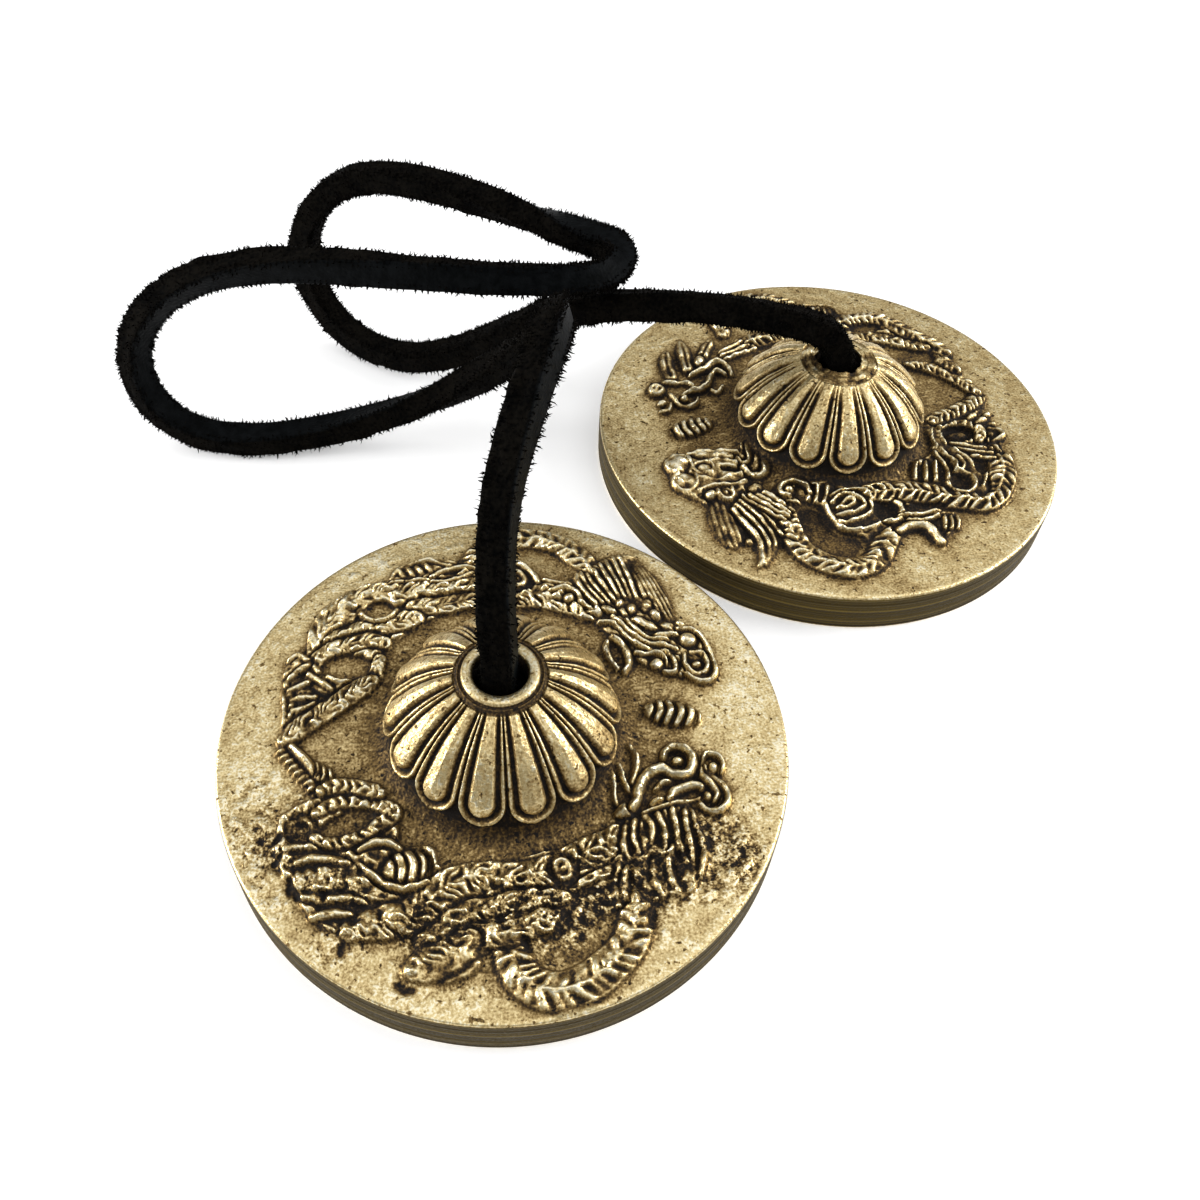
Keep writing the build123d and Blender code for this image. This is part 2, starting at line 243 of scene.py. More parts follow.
whole_route = [
    (FRONT[0], FRONT[1], NECK_Z),
    (FRONT[0], FRONT[1], FRONT_EXIT_Z),
    *ROUTE,
    (REAR[0], REAR[1], REAR_EXIT_Z),
    (REAR[0], REAR[1], NECK_Z),
]
line = spline_points(whole_route, 14)
line = line[np.concatenate([[True], np.linalg.norm(np.diff(line, axis=0), axis=1) > 1e-7])]
run = run_along(line)


def grain_turns(carried, aside):
    """How far the strip is turned about its own line at each point, from where its grain face looks."""
    turns, places = [], []
    for share, direction in GRAIN_FACES:
        i = int(np.argmin(abs(run - share * run[-1])))
        turn = math.atan2(np.dot(direction, aside[i]), np.dot(direction, carried[i]))
        if turns:
            turn += 2 * math.pi * round((turns[-1] - turn) / (2 * math.pi))
        turns.append(turn)
        places.append(run[i])
    return smooth_rows(np.interp(run, places, turns), 300)[:, None]


tangent, carried = carried_frame(line, FIRST_ACROSS)
aside = np.cross(tangent, carried)
turn = grain_turns(carried, aside)
grain = np.cos(turn) * carried + np.sin(turn) * aside
side = np.cross(tangent, grain)


def strip_section(per_corner, per_face):
    """Rounded square as (across, out) points, starting beside the grain face."""
    corners = [
        (STRIP_HALF_WIDTH - GRAIN_CORNER, STRIP_HALF_THICK - GRAIN_CORNER, GRAIN_CORNER, 0.0),
        (STRIP_HALF_WIDTH - FLESH_CORNER, FLESH_CORNER - STRIP_HALF_THICK, FLESH_CORNER, 0.5),
        (FLESH_CORNER - STRIP_HALF_WIDTH, FLESH_CORNER - STRIP_HALF_THICK, FLESH_CORNER, 1.0),
        (GRAIN_CORNER - STRIP_HALF_WIDTH, STRIP_HALF_THICK - GRAIN_CORNER, GRAIN_CORNER, 1.5),
    ]
    points = []
    for across, out, radius, quarter in corners:
        for k in range(per_corner):
            angle = math.pi * (0.5 - quarter - 0.5 * k / (per_corner - 1))
            points.append((across + radius * math.cos(angle), out + radius * math.sin(angle)))
    points = np.array(points)
    full = []
    for a, b in zip(points, np.roll(points, -1, axis=0)):
        gap = np.linalg.norm(b - a)
        count = per_face if gap > 0.6 * MM else 1
        full.extend(a + (b - a) * j / count for j in range(count))
    return np.array(full)


SECTION = strip_section(5, 7)
around = len(SECTION)
section_out = unit(SECTION)
on_grain = np.clip((SECTION[:, 1] / MM - 1.45) / 0.22, 0, 1)


def suede_roughness():
    """How far the flesh sides stand out or in at each point of the strip."""
    lumps = smooth_rows(rng.normal(size=(len(line), around)), 2)
    lumps = smooth_rows(np.concatenate([lumps.T] * 3), 1)[around : 2 * around].T
    waves = smooth_rows(rng.normal(size=(len(line), 4)), 60)
    waves = np.repeat(waves / waves.std(), around // 4 + 1, axis=1)[:, :around]
    return (1 - on_grain) * SUEDE_LUMPS * MM * lumps + (1 - on_grain) * SUEDE_WAVES * MM * waves


rough_out = suede_roughness()
strip = (
    line[:, None, :]
    + (SECTION[:, 0] + rough_out * section_out[:, 0])[..., None] * side[:, None, :]
    + (SECTION[:, 1] + rough_out * section_out[:, 1])[..., None] * grain[:, None, :]
)


def fibres(count, first, last):
    """Loose fibres of the suede between two rows of the strip: bent three-sided spikes, each closed."""
    verts, faces = [], []
    edge = np.linalg.norm(SECTION, axis=1) > 2.05 * MM
    weight = np.where(edge, 1.0, 0.35) * (1 - on_grain)
    weight[(SECTION[:, 1] > 1.0 * MM) & edge] = 0.8
    columns = rng.choice(around, size=count, p=weight / weight.sum())
    rows = rng.integers(first + 1, last - 1, size=count)
    for i, j in zip(rows, columns):
        root = strip[i, j]
        out = section_out[j, 0] * side[i] + section_out[j, 1] * grain[i]
        lean = unit(rng.normal(size=3))
        ahead = unit(out + 0.75 * lean)
        length = min(FIBRE_SHORTEST + rng.exponential(FIBRE_SPREAD), FIBRE_LONGEST) * MM
        thick = rng.uniform(*FIBRE_THICKNESS) * MM
        bend = unit(ahead + 0.6 * unit(rng.normal(size=3)))
        one = unit(np.cross(ahead, lean + (0.1, 0.2, 0.3)))
        two = np.cross(ahead, one)
        middle = root + 0.5 * length * ahead
        n = len(verts)
        for centre, size in ((root - FIBRE_ROOT * out, thick), (middle, 0.75 * thick)):
            for k in range(3):
                angle = 2 * math.pi * k / 3
                verts.append(centre + size * (math.cos(angle) * one + math.sin(angle) * two))
        verts.append(middle + 0.5 * length * bend)
        for v in verts[n:]:
            v[2] = max(v[2], FLOOR_ROOM)
        faces.append((n + 2, n + 1, n))
        for k in range(3):
            m = (k + 1) % 3
            faces.append((n + k, n + m, n + 3 + m, n + 3 + k))
            faces.append((n + 3 + k, n + 3 + m, n + 6))
    return verts, faces


def tube_mesh(rows):
    """Points and faces of a tube through rows of points, capped at both ends."""
    count = len(rows)
    faces = []
    for i in range(count - 1):
        for j in range(around):
            k = (j + 1) % around
            faces.append((i * around + j, (i + 1) * around + j, (i + 1) * around + k, i * around + k))
    faces.append(tuple(range(around)))
    faces.append(tuple(reversed(range((count - 1) * around, count * around))))
    return list(rows.reshape(-1, 3)), faces


def mark_ends(piece, count):
    """Sharp edges round both caps of a tube, so that its sides keep their own shading there."""
    mesh = piece.data
    ends = np.zeros(len(mesh.vertices), bool)
    ends[:around] = True
    ends[(count - 1) * around : count * around] = True
    pairs = np.zeros(2 * len(mesh.edges), np.int32)
    mesh.edges.foreach_get("vertices", pairs)
    sharp = mesh.attributes.new("sharp_edge", "BOOLEAN", "EDGE")
    sharp.data.foreach_set("value", ends[pairs.reshape(-1, 2)].all(axis=1))


def thong_piece(name, first, last, fibre_count):
    """Stretch of the thong between two rows of the strip, capped at both ends, with its loose fibres."""
    count = last - first + 1
    verts, faces = tube_mesh(strip[first : last + 1])
    start = len(verts)
    hair, hair_faces = fibres(fibre_count, first, last)
    verts.extend(hair)
    faces.extend(tuple(start + i for i in f) for f in hair_faces)
    grain_values = np.concatenate([np.tile(on_grain, count), np.zeros(len(hair))])
    piece = new_object(name, verts, faces, {"grain": grain_values})
    mark_ends(piece, count)
    return piece


front_cut = int(np.argmin(abs(run - CUT)))
rear_cut = int(np.argmin(abs(run - (run[-1] - CUT))))
last_row = len(line) - 1
front_end = thong_piece("thong_front_strip", 0, front_cut, 1500)
loops = thong_piece("thong_loops_strip", front_cut, rear_cut, 20000)
rear_end = thong_piece("thong_rear_strip", rear_cut, last_row, 2000)
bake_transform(front_end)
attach(loops, "thong")
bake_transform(rear_end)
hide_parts("thong_front_end")
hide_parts("thong_loops")
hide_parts("thong_rear_end")


# Stopper knots: the thong's own ends, each in an overhand knot inside its dome
KNOT_Z = 11.0 * MM
KNOT_SIZE = 1.2 * MM
KNOT_HEIGHT = 1.9 * MM
KNOT_TIGHT = 0.76
KNOT_OPEN = 0.45
KNOT_LUMPS = 0.12
TAIL_Z = 2.4 * MM


def knot_piece(name, centre, degrees):
    """Overhand knot from the thong's neck in the bore down to its cut tail."""
    points = [(0.0, 0.0, NECK_Z), (-0.3 * MM, -0.5 * MM, 13.9 * MM)]
    for t in np.linspace(2 * math.pi - KNOT_OPEN, KNOT_OPEN, 26):
        x = KNOT_SIZE * (math.sin(t) + 2 * math.sin(2 * t))
        y = KNOT_SIZE * (math.cos(t) - 2 * math.cos(2 * t))
        points.append((x, y, KNOT_Z - KNOT_HEIGHT * math.sin(3 * t)))
    points += [(0.4 * MM, -0.9 * MM, 7.2 * MM), (0.3 * MM, -0.3 * MM, 4.8 * MM), (0.0, 0.0, TAIL_Z)]
    points = np.array(points)
    points[:, :2] = turned(points[:, :2], degrees)
    path = spline_points(points, 6)
    ahead, out = carried_frame(path, FIRST_ACROSS)
    across = np.cross(ahead, out)
    length = run_along(path)
    size = np.interp(length, [0.0, 3 * MM, 9 * MM, length[-1]], [1.0, 0.9, KNOT_TIGHT, KNOT_TIGHT])
    bumps = smooth_rows(rng.normal(size=(len(path), around)), 2) * KNOT_LUMPS * MM * (1 - on_grain)
    u = SECTION[:, 0] * size[:, None] + bumps * section_out[:, 0]
    v = SECTION[:, 1] * size[:, None] + bumps * section_out[:, 1]
    rows = path[:, None, :] + u[..., None] * across[:, None, :] + v[..., None] * out[:, None, :]
    rows[..., 2] = np.maximum(rows[..., 2], TAIL_Z - 0.05 * MM)
    verts, faces = tube_mesh(rows + centre)
    piece = new_object(name, verts, faces, {"grain": np.tile(on_grain, len(path))})
    mark_ends(piece, len(path))
    return piece


front_knot = knot_piece("front_knot_tied", FRONT, 95.0)
rear_knot = knot_piece("rear_knot_tied", REAR, 0.0)
for piece, node in ((front_knot, "front_knot"), (rear_knot, "rear_knot")):
    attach(piece, node)
    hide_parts(node)


# Cymbals: sizes of the castings in millimetres, from the part's source
SEGMENTS = 1120
PETALS = 14
RIM_R = 32.5
RIM_Z = 6.2
DOME_R = 14.4
DOME_Z = 4.53
PETAL_RISE = 1.0
TIP_ELEVATION = 18.2
FOOT_ELEVATION = 16.8
PETAL_TIP = 2.9
TOP_ELEVATION = 69.2
CAVITY_R = 11.1
BORE_R = 3.0
ROOF_Z = 15.22
ROPE_FULL = 1.25
RIDGE_FULL = 1.35
ROPE_MOAT = 0.3
BORE, COLLAR, GROOVE, DOME, COVE, FLANGE, EDGE, SIDE, UNDER = range(9)
COLLAR_RINGS = [
    *((3.04, 18.16), (3.12, 18.34), (3.28, 18.4), (3.5, 18.42)),
    *((3.75, 18.42), (4.0, 18.41), (4.16, 18.34), (4.28, 18.16)),
]
GROOVE_RINGS = [(4.33, 18.0), (4.41, 17.88), (4.51, 17.85), (4.60, 17.90)]
OUTER_COLLAR_RINGS = [(4.66, 17.98), (4.72, 18.0), (4.78, 17.94), (4.82, 17.84)]
UNDER_RINGS = [
    *((32.1, 0.0), (29.3, 0.0), (26.6, 0.0), (26.4, 0.08), (25.9, 0.6), (25.4, 1.12)),
    *((25.2, 1.2), (20.5, 1.2), (15.5, 1.2), (11.4, 1.2), (11.15, 1.3)),
]


def casting_profile():
    """Rings of one casting, from the bore over the top and back underneath: radius, height and zone."""
    rings = [(BORE_R, z, BORE) for z in (ROOF_Z, 16.2, 17.1, 17.8)]
    rings += [(r, z, COLLAR) for r, z in COLLAR_RINGS]
    rings += [(r, z, GROOVE) for r, z in GROOVE_RINGS]
    rings += [(r, z, COLLAR) for r, z in OUTER_COLLAR_RINGS]
    floor_r = DOME_R - PETAL_RISE
    for elevation in np.linspace(TOP_ELEVATION, FOOT_ELEVATION, 80):
        angle = math.radians(elevation)
        rings.append((floor_r * math.cos(angle), DOME_Z + floor_r * math.sin(angle), DOME))
    start = np.array(rings[-1][:2])
    angle = math.radians(FOOT_ELEVATION)
    pull = start + 1.7 * np.array((math.sin(angle), -math.cos(angle)))
    foot, near = np.array((16.6, RIM_Z)), np.array((14.5, RIM_Z + 0.02))
    for t in np.linspace(0, 1, 26)[1:]:
        place = (1 - t) ** 3 * start + 3 * (1 - t) ** 2 * t * pull + 3 * (1 - t) * t**2 * near + t**3 * foot
        rings.append((place[0], place[1], COVE))
    rings += [(r, RIM_Z, FLANGE) for r in np.arange(16.75, 31.9, 0.15)]
    rings += [(32.1, RIM_Z, EDGE), (32.28, 6.15, EDGE), (32.42, 6.02, EDGE)]
    turning = np.linspace(5.8, 0.4, 37)
    rings += [(RIM_R - 0.035 * (1 + math.sin(5.1 * k * k)), z, SIDE) for k, z in enumerate(turning)]
    rings += [(32.42, 0.18, EDGE), (32.28, 0.05, EDGE)]
    rings += [(r, z, UNDER) for r, z in UNDER_RINGS]
    rings += [(CAVITY_R, 1.6, BORE), (CAVITY_R, 3.0, BORE)]
    for elevation in np.linspace(0, 74.0, 14):
        angle = math.radians(elevation)
        rings.append((CAVITY_R * math.cos(angle), DOME_Z + CAVITY_R * math.sin(angle), BORE))
    return np.array([ring[:2] for ring in rings]), np.array([ring[2] for ring in rings])


def soft_line(points, step=0.22):
    """Smooth line through given points."""
    p = np.asarray(points, float)
    if len(p) == 2:
        count = max(2, int(np.linalg.norm(p[1] - p[0]) / step))
        return p[0] + (p[1] - p[0]) * np.linspace(0, 1, count)[:, None]
    ends = np.concatenate([[2 * p[0] - p[1]], p, [2 * p[-1] - p[-2]]])
    line = []
    for a, b, c, d in zip(ends, ends[1:], ends[2:], ends[3:]):
        count = max(2, int(np.linalg.norm(c - b) / step))
        t = np.linspace(0, 1, count, endpoint=False)[:, None]
        squared = (2 * a - 5 * b + 4 * c - d) * t**2
        cubed = (3 * b - a - 3 * c + d) * t**3
        line.append(0.5 * (2 * b + (c - a) * t + squared + cubed))
    return np.concatenate([*line, p[-1:]])


def along_line(line, places):
    """Distance of places from a line, side of it and length along it, and the line's whole length."""
    best = np.full(len(places), 1e9)
    side, length = np.zeros(len(places)), np.zeros(len(places))
    gone = 0.0
    for a, b in zip(line[:-1], line[1:]):
        step = b - a
        size = np.linalg.norm(step)
        if size < 1e-9:
            continue
        d = places - a
        t = np.clip(d @ step / size**2, 0, 1)
        off = d - t[:, None] * step
        far = np.hypot(off[:, 0], off[:, 1])
        closer = far < best
        best = np.where(closer, far, best)
        side = np.where(closer, np.sign(step[0] * d[:, 1] - step[1] * d[:, 0]), side)
        length = np.where(closer, gone + t * size, length)
        gone += size
    return best, side, length, gone


def within(outline, places):
    """Which places lie inside a closed outline."""
    odd = np.zeros(len(places), bool)
    for (ax, ay), (bx, by) in zip(outline[:-1], outline[1:]):
        if ay != by:
            crossing = (places[:, 1] >= min(ay, by)) & (places[:, 1] < max(ay, by))
            odd ^= crossing & (places[:, 0] < ax + (places[:, 1] - ay) * (bx - ax) / (by - ay))
    return odd


def cell_gap(places):
    """How much nearer each place is to its nearest scattered point than to the next one."""
    base = np.floor(places)
    nearest = np.full(len(places), 9.0)
    second = np.full(len(places), 9.0)
    for step in ((i, j) for i in (-1, 0, 1) for j in (-1, 0, 1)):
        corner = base + step
        mixed = np.sin(corner @ np.array([[127.1, 269.5], [311.7, 183.3]])) * 43758.5453
        far = np.linalg.norm(corner + mixed - np.floor(mixed) - places, axis=1)
        second = np.minimum(second, np.maximum(nearest, far))
        nearest = np.minimum(nearest, far)
    return second - nearest


class Relief:
    """Cast ornament at points of the disc: its height in millimetres, and how much painted shade darkens it
    there.

    A stroke clears a strip as wide as the moat along its sides, in what was drawn before it.
    """

    def __init__(self, places, moat=0.25):
        self.places = places
        self.moat = moat
        self.height = np.zeros(len(places))
        self.shade = np.zeros(len(places))

    def near(self, line, reach):
        """Numbers and places of the points within a box round a line."""
        low, high = line.min(0) - reach, line.max(0) + reach
        at = np.flatnonzero(((self.places >= low) & (self.places <= high)).all(1))
        return at, self.places[at]

    def oval(self, place, rx, ry, degrees, reach):
        """Points near an oval, their places along its axes, and their distance as a share of its size."""
        at, places = self.near(np.array([place, place], float), reach)
        local = turned(places - np.array(place), -degrees)
        return at, local, np.hypot(local[:, 0] / rx, local[:, 1] / ry)

    def sink(self, at, keep, floor, shade):
        """Lowers points to a floor where little is kept, and darkens them with painted shade."""
        self.height[at] = self.height[at] * keep + floor * (1 - keep)
        self.shade[at] = np.maximum(self.shade[at], shade * (1 - keep))

    def ridge(self, points, width, rise, ends=(0.6, 0.6), flat=0.5):
        """Ridge with a narrow crest along a line, or a flat band where flat is low."""
        line = soft_line(points)
        at, places = self.near(line, RIDGE_FULL * width + self.moat)
        far, _, length, whole = along_line(line, places)
        taper = np.interp(length / whole, [0, 0.3, 0.7, 1], [ends[0], 1, 1, ends[1]])
        half = (width if flat < 0.4 else RIDGE_FULL * width) * taper
        q = np.clip(far / half, 0, 1)
        high = rise * (1 - q**2) ** flat if flat < 0.4 else rise * (1 - q**1.4) ** 0.9
        left = self.height[at] * np.clip((far - half) / self.moat, 0, 1)
        self.height[at] = np.where(far < half, high, left)

    def rope(self, points, width, rise, pitch, lean=0.5, spine=0.8, wild=0.0):
        """Band with a raised edge on both sides and leaning ribs across it.

        With a spine it has a ridge along its middle. A wild one has its ribs staggered and uneven.
        """
        line = soft_line(points)
        at, places = self.near(line, ROPE_FULL * width + ROPE_MOAT)
        far, side, length, whole = along_line(line, places)
        half = ROPE_FULL * width * np.interp(length / whole, [0, 0.1, 0.9, 1], [0.75, 1, 1, 0.65])
        q = np.clip(far / half, 0, 1)
        x, y = places[:, 0], places[:, 1]
        stray = np.sin(2.1 * x + 1.3 * y) + np.sin(1.7 * y - 2.6 * x)
        place = length + lean * far + 0.22 * np.sin(1.9 * length + side) + 0.15 * np.sin(0.8 * length)
        place += wild * (0.26 * stray + 0.3 * pitch * side)
        rib = np.exp(-((abs(place / pitch - np.round(place / pitch)) * pitch / 0.33) ** 2))
        edge = 0.9 * np.exp(-((((1 - q) * half - 0.22) / 0.2) ** 2))
        middle = spine * np.exp(-((far / 0.26) ** 2))
        net = np.maximum(np.maximum(rib, edge), middle)
        high = rise * (1 - q**4) ** 0.5 * (1 - 0.18 * q**2) * (0.38 + 0.62 * net)
        left = self.height[at] * np.clip((far - half) / ROPE_MOAT, 0, 1)
        self.height[at] = np.where(far < half, high, left)

    def mass(self, corners, rise, cell=1.3, stretch=1.6, degrees=0.0):
        """Raised mass inside an outline, with a net of narrow crests over it."""
        outline = soft_line([*corners, corners[0]], 0.5)
        at, places = self.near(outline, 0.3)
        far = along_line(outline, places)[0]
        inside = within(outline, places)
        gap = cell_gap(turned(places, -degrees) / (cell * stretch, cell))
        net = np.exp(-((gap * cell / 0.34) ** 2))
        edge = np.exp(-(((far - 0.25) / 0.2) ** 2))
        high = rise * np.clip(far / 0.35, 0, 1) ** 0.5 * (0.5 + 0.5 * np.maximum(net, 0.8 * edge))
        self.height[at] = np.where(inside, np.maximum(self.height[at], high), self.height[at])

    def hollow(self, corners, floor=0.0, shade=0.16):
        """Opening inside an outline, where the disc shows through in shade."""
        outline = soft_line([*corners, corners[0]], 0.5)
        at, places = self.near(outline, 0.1)
        far = along_line(outline, places)[0]
        keep = np.where(within(outline, places), np.clip(1 - far / 0.3, 0, 1), 1.0)
        self.sink(at, keep, floor, shade)

    def veins(self, lines, width=0.27, rise=1.25):
        """Thin ridges on top of what is there."""
        for points in lines:
            line = soft_line(points)
            at, places = self.near(line, 2.2 * width)
            far = along_line(line, places)[0]
            self.height[at] = np.maximum(self.height[at], rise * np.exp(-((far / width) ** 2)))

    def mound(self, place, rx, ry, degrees, rise, pitch=0.0, cut=0.5, spiral=0.0, moat=0.3, flat=0.5):
        """Rounded oval mound. With a pitch it has rings, or a spiral, round its middle."""
        at, local, q = self.oval(place, rx, ry, degrees, max(rx, ry) + moat)
        high = rise * (1 - np.clip(q, 0, 1) ** 2) ** flat
        if pitch:
            turn = np.arctan2(local[:, 1], local[:, 0]) / (2 * math.pi)
            rib = 0.5 + 0.5 * np.cos(2 * math.pi * (q * max(rx, ry) / pitch + spiral * turn))
            high = high * (1 - cut * (1 - rib))
        left = self.height[at] * np.clip((q - 1) * min(rx, ry) / moat, 0, 1)
        self.height[at] = np.where(q < 1, high, left)

    def patch(self, place, rx, ry, degrees, rise, pitch):
        """Oval patch of overlapping scales."""
        at, local, q = self.oval(place, rx, ry, degrees, max(rx, ry))
        row = np.floor(local[:, 0] / pitch)
        across = local[:, 1] / pitch + 0.5 * (row % 2)
        cell = np.stack([local[:, 0] / pitch - row, across - np.floor(across) - 0.5], -1)
        rib = np.clip(np.hypot(cell[:, 0] - 0.1, 1.3 * cell[:, 1]), 0, 1)
        high = rise * np.clip(1.6 * (1 - q), 0, 1) ** 0.5 * (0.45 + 0.55 * np.sin(math.pi * rib) ** 2)
        self.height[at] = np.where(q < 1, np.maximum(self.height[at], high), self.height[at])

    def line_cut(self, points, width, depth):
        """Incised line in what stands above the disc."""
        line = soft_line(points)
        at, places = self.near(line, width)
        far = along_line(line, places)[0]
        self.height[at] -= depth * np.clip(1 - (far / width) ** 2, 0, 1) * (self.height[at] > 0.15)

    def pit(self, place, rx, ry, degrees, edge=0.35, floor=0.0, shade=0.2):
        """Oval opening, where the disc shows through in shade."""
        at, _, q = self.oval(place, rx, ry, degrees, max(rx, ry) + edge)
        self.sink(at, np.clip((q - 1) * min(rx, ry) / edge, 0, 1), floor, shade)


def draw_pearl(c, place, degrees):
    """Ribbed shell, blunt at its inner end."""
    c.mound(place, 3.5, 1.75, degrees, 1.25, flat=0.4)
    for k in range(5):
        across = turned([(-2.5 + 1.2 * k, -1.8), (-1.95 + 1.2 * k, 0.0), (-2.5 + 1.2 * k, 1.8)], degrees)
        c.line_cut(across + np.array(place), 0.3, 0.9)


def front_bodies(c):
    """Bodies of both dragons, with their manes."""
    c.mass([(-25.6, -6.0), (-26.4, -10.0), (-25.0, -14.0), (-22.6, -18.4), (-18.0, -21.4), (-13.0, -22.0),
            (-13.6, -25.0), (-10.6, -27.0), (-7.0, -26.4), (-6.0, -24.6), (-3.6, -25.4), (-2.4, -23.4),
            (2.0, -24.0), (3.0, -21.0), (8.0, -19.6), (11.0, -21.0), (9.4, -14.6), (4.0, -15.2),
            (-4.0, -15.6), (-9.0, -15.2), (-9.6, -12.6), (-13.0, -11.6), (-13.0, -8.0), (-17.0, -4.6),
            (-22.0, -4.6)], 0.95, 1.15, 1.3, 20)
    c.mass([(9.6, -13.6), (9.2, -18.0), (8.0, -22.8), (10.6, -23.6), (13.0, -22.6), (15.0, -23.0),
            (17.2, -21.6), (18.6, -17.0), (18.2, -13.0), (13.0, -12.6)], 0.9, 1.0, 2.2, 80)
    c.mass([(-25.0, 3.4), (-24.8, 8.0), (-24.6, 11.5), (-23.6, 14.6), (-21.0, 16.4), (-20.4, 18.6),
            (-18.6, 21.0), (-16.0, 22.8), (-13.0, 23.8), (-10.6, 24.4), (-10.0, 25.8), (-7.4, 26.8),
            (-4.6, 26.8), (-1.0, 25.6), (1.0, 24.6), (6.0, 22.6), (9.0, 20.8), (12.0, 19.6), (13.8, 17.0),
            (14.6, 14.8), (12.6, 14.2), (9.0, 16.4), (4.0, 18.0), (-2.0, 18.2), (-8.0, 16.4),
            (-12.4, 13.4), (-12.6, 11.4), (-16.0, 8.0), (-21.0, 5.0)], 0.95, 1.25, 1.7, 35)
    c.mass([(12.2, 20.4), (14.8, 22.0), (19.0, 23.0), (21.6, 21.6), (23.6, 16.0), (24.0, 11.4),
            (26.4, 8.6), (26.6, 3.6), (24.6, 1.6), (22.0, 3.0), (20.0, 4.0), (17.0, 6.8), (14.2, 12.4),
            (15.0, 14.6), (13.2, 17.0)], 0.8, 0.9, 2.4, 105)


def near_body(c):
    """Near dragon: neck loop, back, second coil and haunch."""
    c.rope([(10.0, -22.6), (9.3, -24.8), (7.9, -26.8), (5.8, -28.4), (3.2, -29.6), (0.4, -29.9),
            (-1.9, -28.9), (-3.2, -27.0), (-3.3, -25.0), (-2.6, -23.4)], 1.65, 1.25, 1.15)
    c.rope([(9.8, -15.2), (7.4, -16.2), (5.2, -16.8), (2.8, -17.6), (0.2, -17.9), (-2.4, -17.6),
            (-5.0, -17.1), (-7.4, -17.0), (-9.6, -17.7), (-11.6, -19.0), (-13.6, -19.7), (-16.2, -19.8),
            (-19.0, -20.0)], 1.55, 1.35, 1.1, 0.8, 0.5, 1.0)
    c.rope([(2.8, -20.8), (0.8, -20.6), (-1.2, -20.2), (-3.2, -20.2), (-5.2, -20.6)], 0.95, 1.1, 1.05,
            0.8, 0.0, 1.0)
    c.rope([(2.0, -22.8), (0.0, -22.8), (-2.0, -23.2), (-4.2, -23.4), (-6.4, -23.0), (-8.2, -22.6)], 1.1,
            1.15, 1.05, 0.8, 0.5, 1.0)
    c.mound((3.3, -17.8), 1.5, 1.9, 10, 1.3, 1.0, 0.55)
    c.rope([(-13.0, -25.0), (-11.0, -24.8), (-9.0, -24.2), (-7.2, -23.2)], 1.5, 1.1, 1.0, 0.8, 0.3, 1.0)
    c.mound((-12.8, -14.6), 2.8, 2.2, 12, 1.35)
    for x in (-14.2, -13.0, -11.8, -10.8):
        c.line_cut([(x, -12.6), (x + 0.45, -14.4), (x - 0.1, -16.6)], 0.26, 0.85)
    c.ridge([(-17.4, -13.4), (-16.2, -14.8), (-14.6, -16.2), (-12.6, -16.9), (-10.8, -16.4)], 0.5, 1.3)
    c.hollow([(2.4, -21.4), (5.0, -20.4), (7.4, -20.6), (8.2, -22.6), (7.4, -25.0), (5.4, -26.6),
            (2.6, -27.4), (0.4, -27.0), (0.2, -25.2), (1.4, -23.4)], 0.0, 0.24)


def near_hind_part(c):
    """Near dragon: worn hind part with its two openings."""
    c.patch((-20.4, -13.4), 4.6, 3.0, -14, 0.9, 1.5)
    for points in (
        [(-25.2, -10.0), (-22.6, -10.1), (-20.4, -10.7), (-18.0, -10.5), (-16.0, -9.5)],
        [(-24.8, -11.9), (-22.4, -11.7), (-20.4, -12.1), (-18.6, -12.9)],
        [(-17.4, -11.6), (-15.8, -11.0), (-14.2, -11.4), (-13.2, -12.2)],
        [(-23.6, -15.6), (-21.4, -16.4), (-19.2, -16.6), (-17.4, -17.4)],
        [(-22.8, -18.0), (-20.6, -18.0), (-18.8, -18.4)],
    ):
        c.ridge(points, 0.6, 1.1)
    c.mound((-23.3, -7.9), 1.75, 1.6, 0, 1.05, 0.9, 0.4)
    c.pit((-23.4, -8.0), 0.85, 0.8, 0)
    c.rope([(-21.6, -6.4), (-19.4, -5.6), (-16.8, -5.9), (-14.6, -6.8), (-13.2, -8.0), (-15.0, -9.0),
            (-17.6, -10.0), (-20.2, -10.2), (-22.0, -9.2)], 0.75, 1.1, 1.1, spine=0.0)
    c.pit((-18.4, -8.2), 2.7, 1.15, 10, 0.3, -0.05, 0.08)
    for x, y, size in (
        (-26.2, -8.8, 0.5),
        (-26.9, -9.9, 0.35),
        (-26.0, -10.9, 0.3),
        (-24.9, -14.2, 0.45),
        (-24.3, -15.1, 0.3),
        (-20.2, -21.6, 0.35),
        (-14.7, -26.5, 0.45),
        (-13.8, -26.9, 0.3),
        (-1.8, -24.7, 0.4),
        (11.1, -24.8, 0.4),
        (11.6, -24.0, 0.3),
    ):
        c.pit((x, y), 1.4 * size, 0.6 * size, 40 * x, 0.3, -0.2, 0.55)


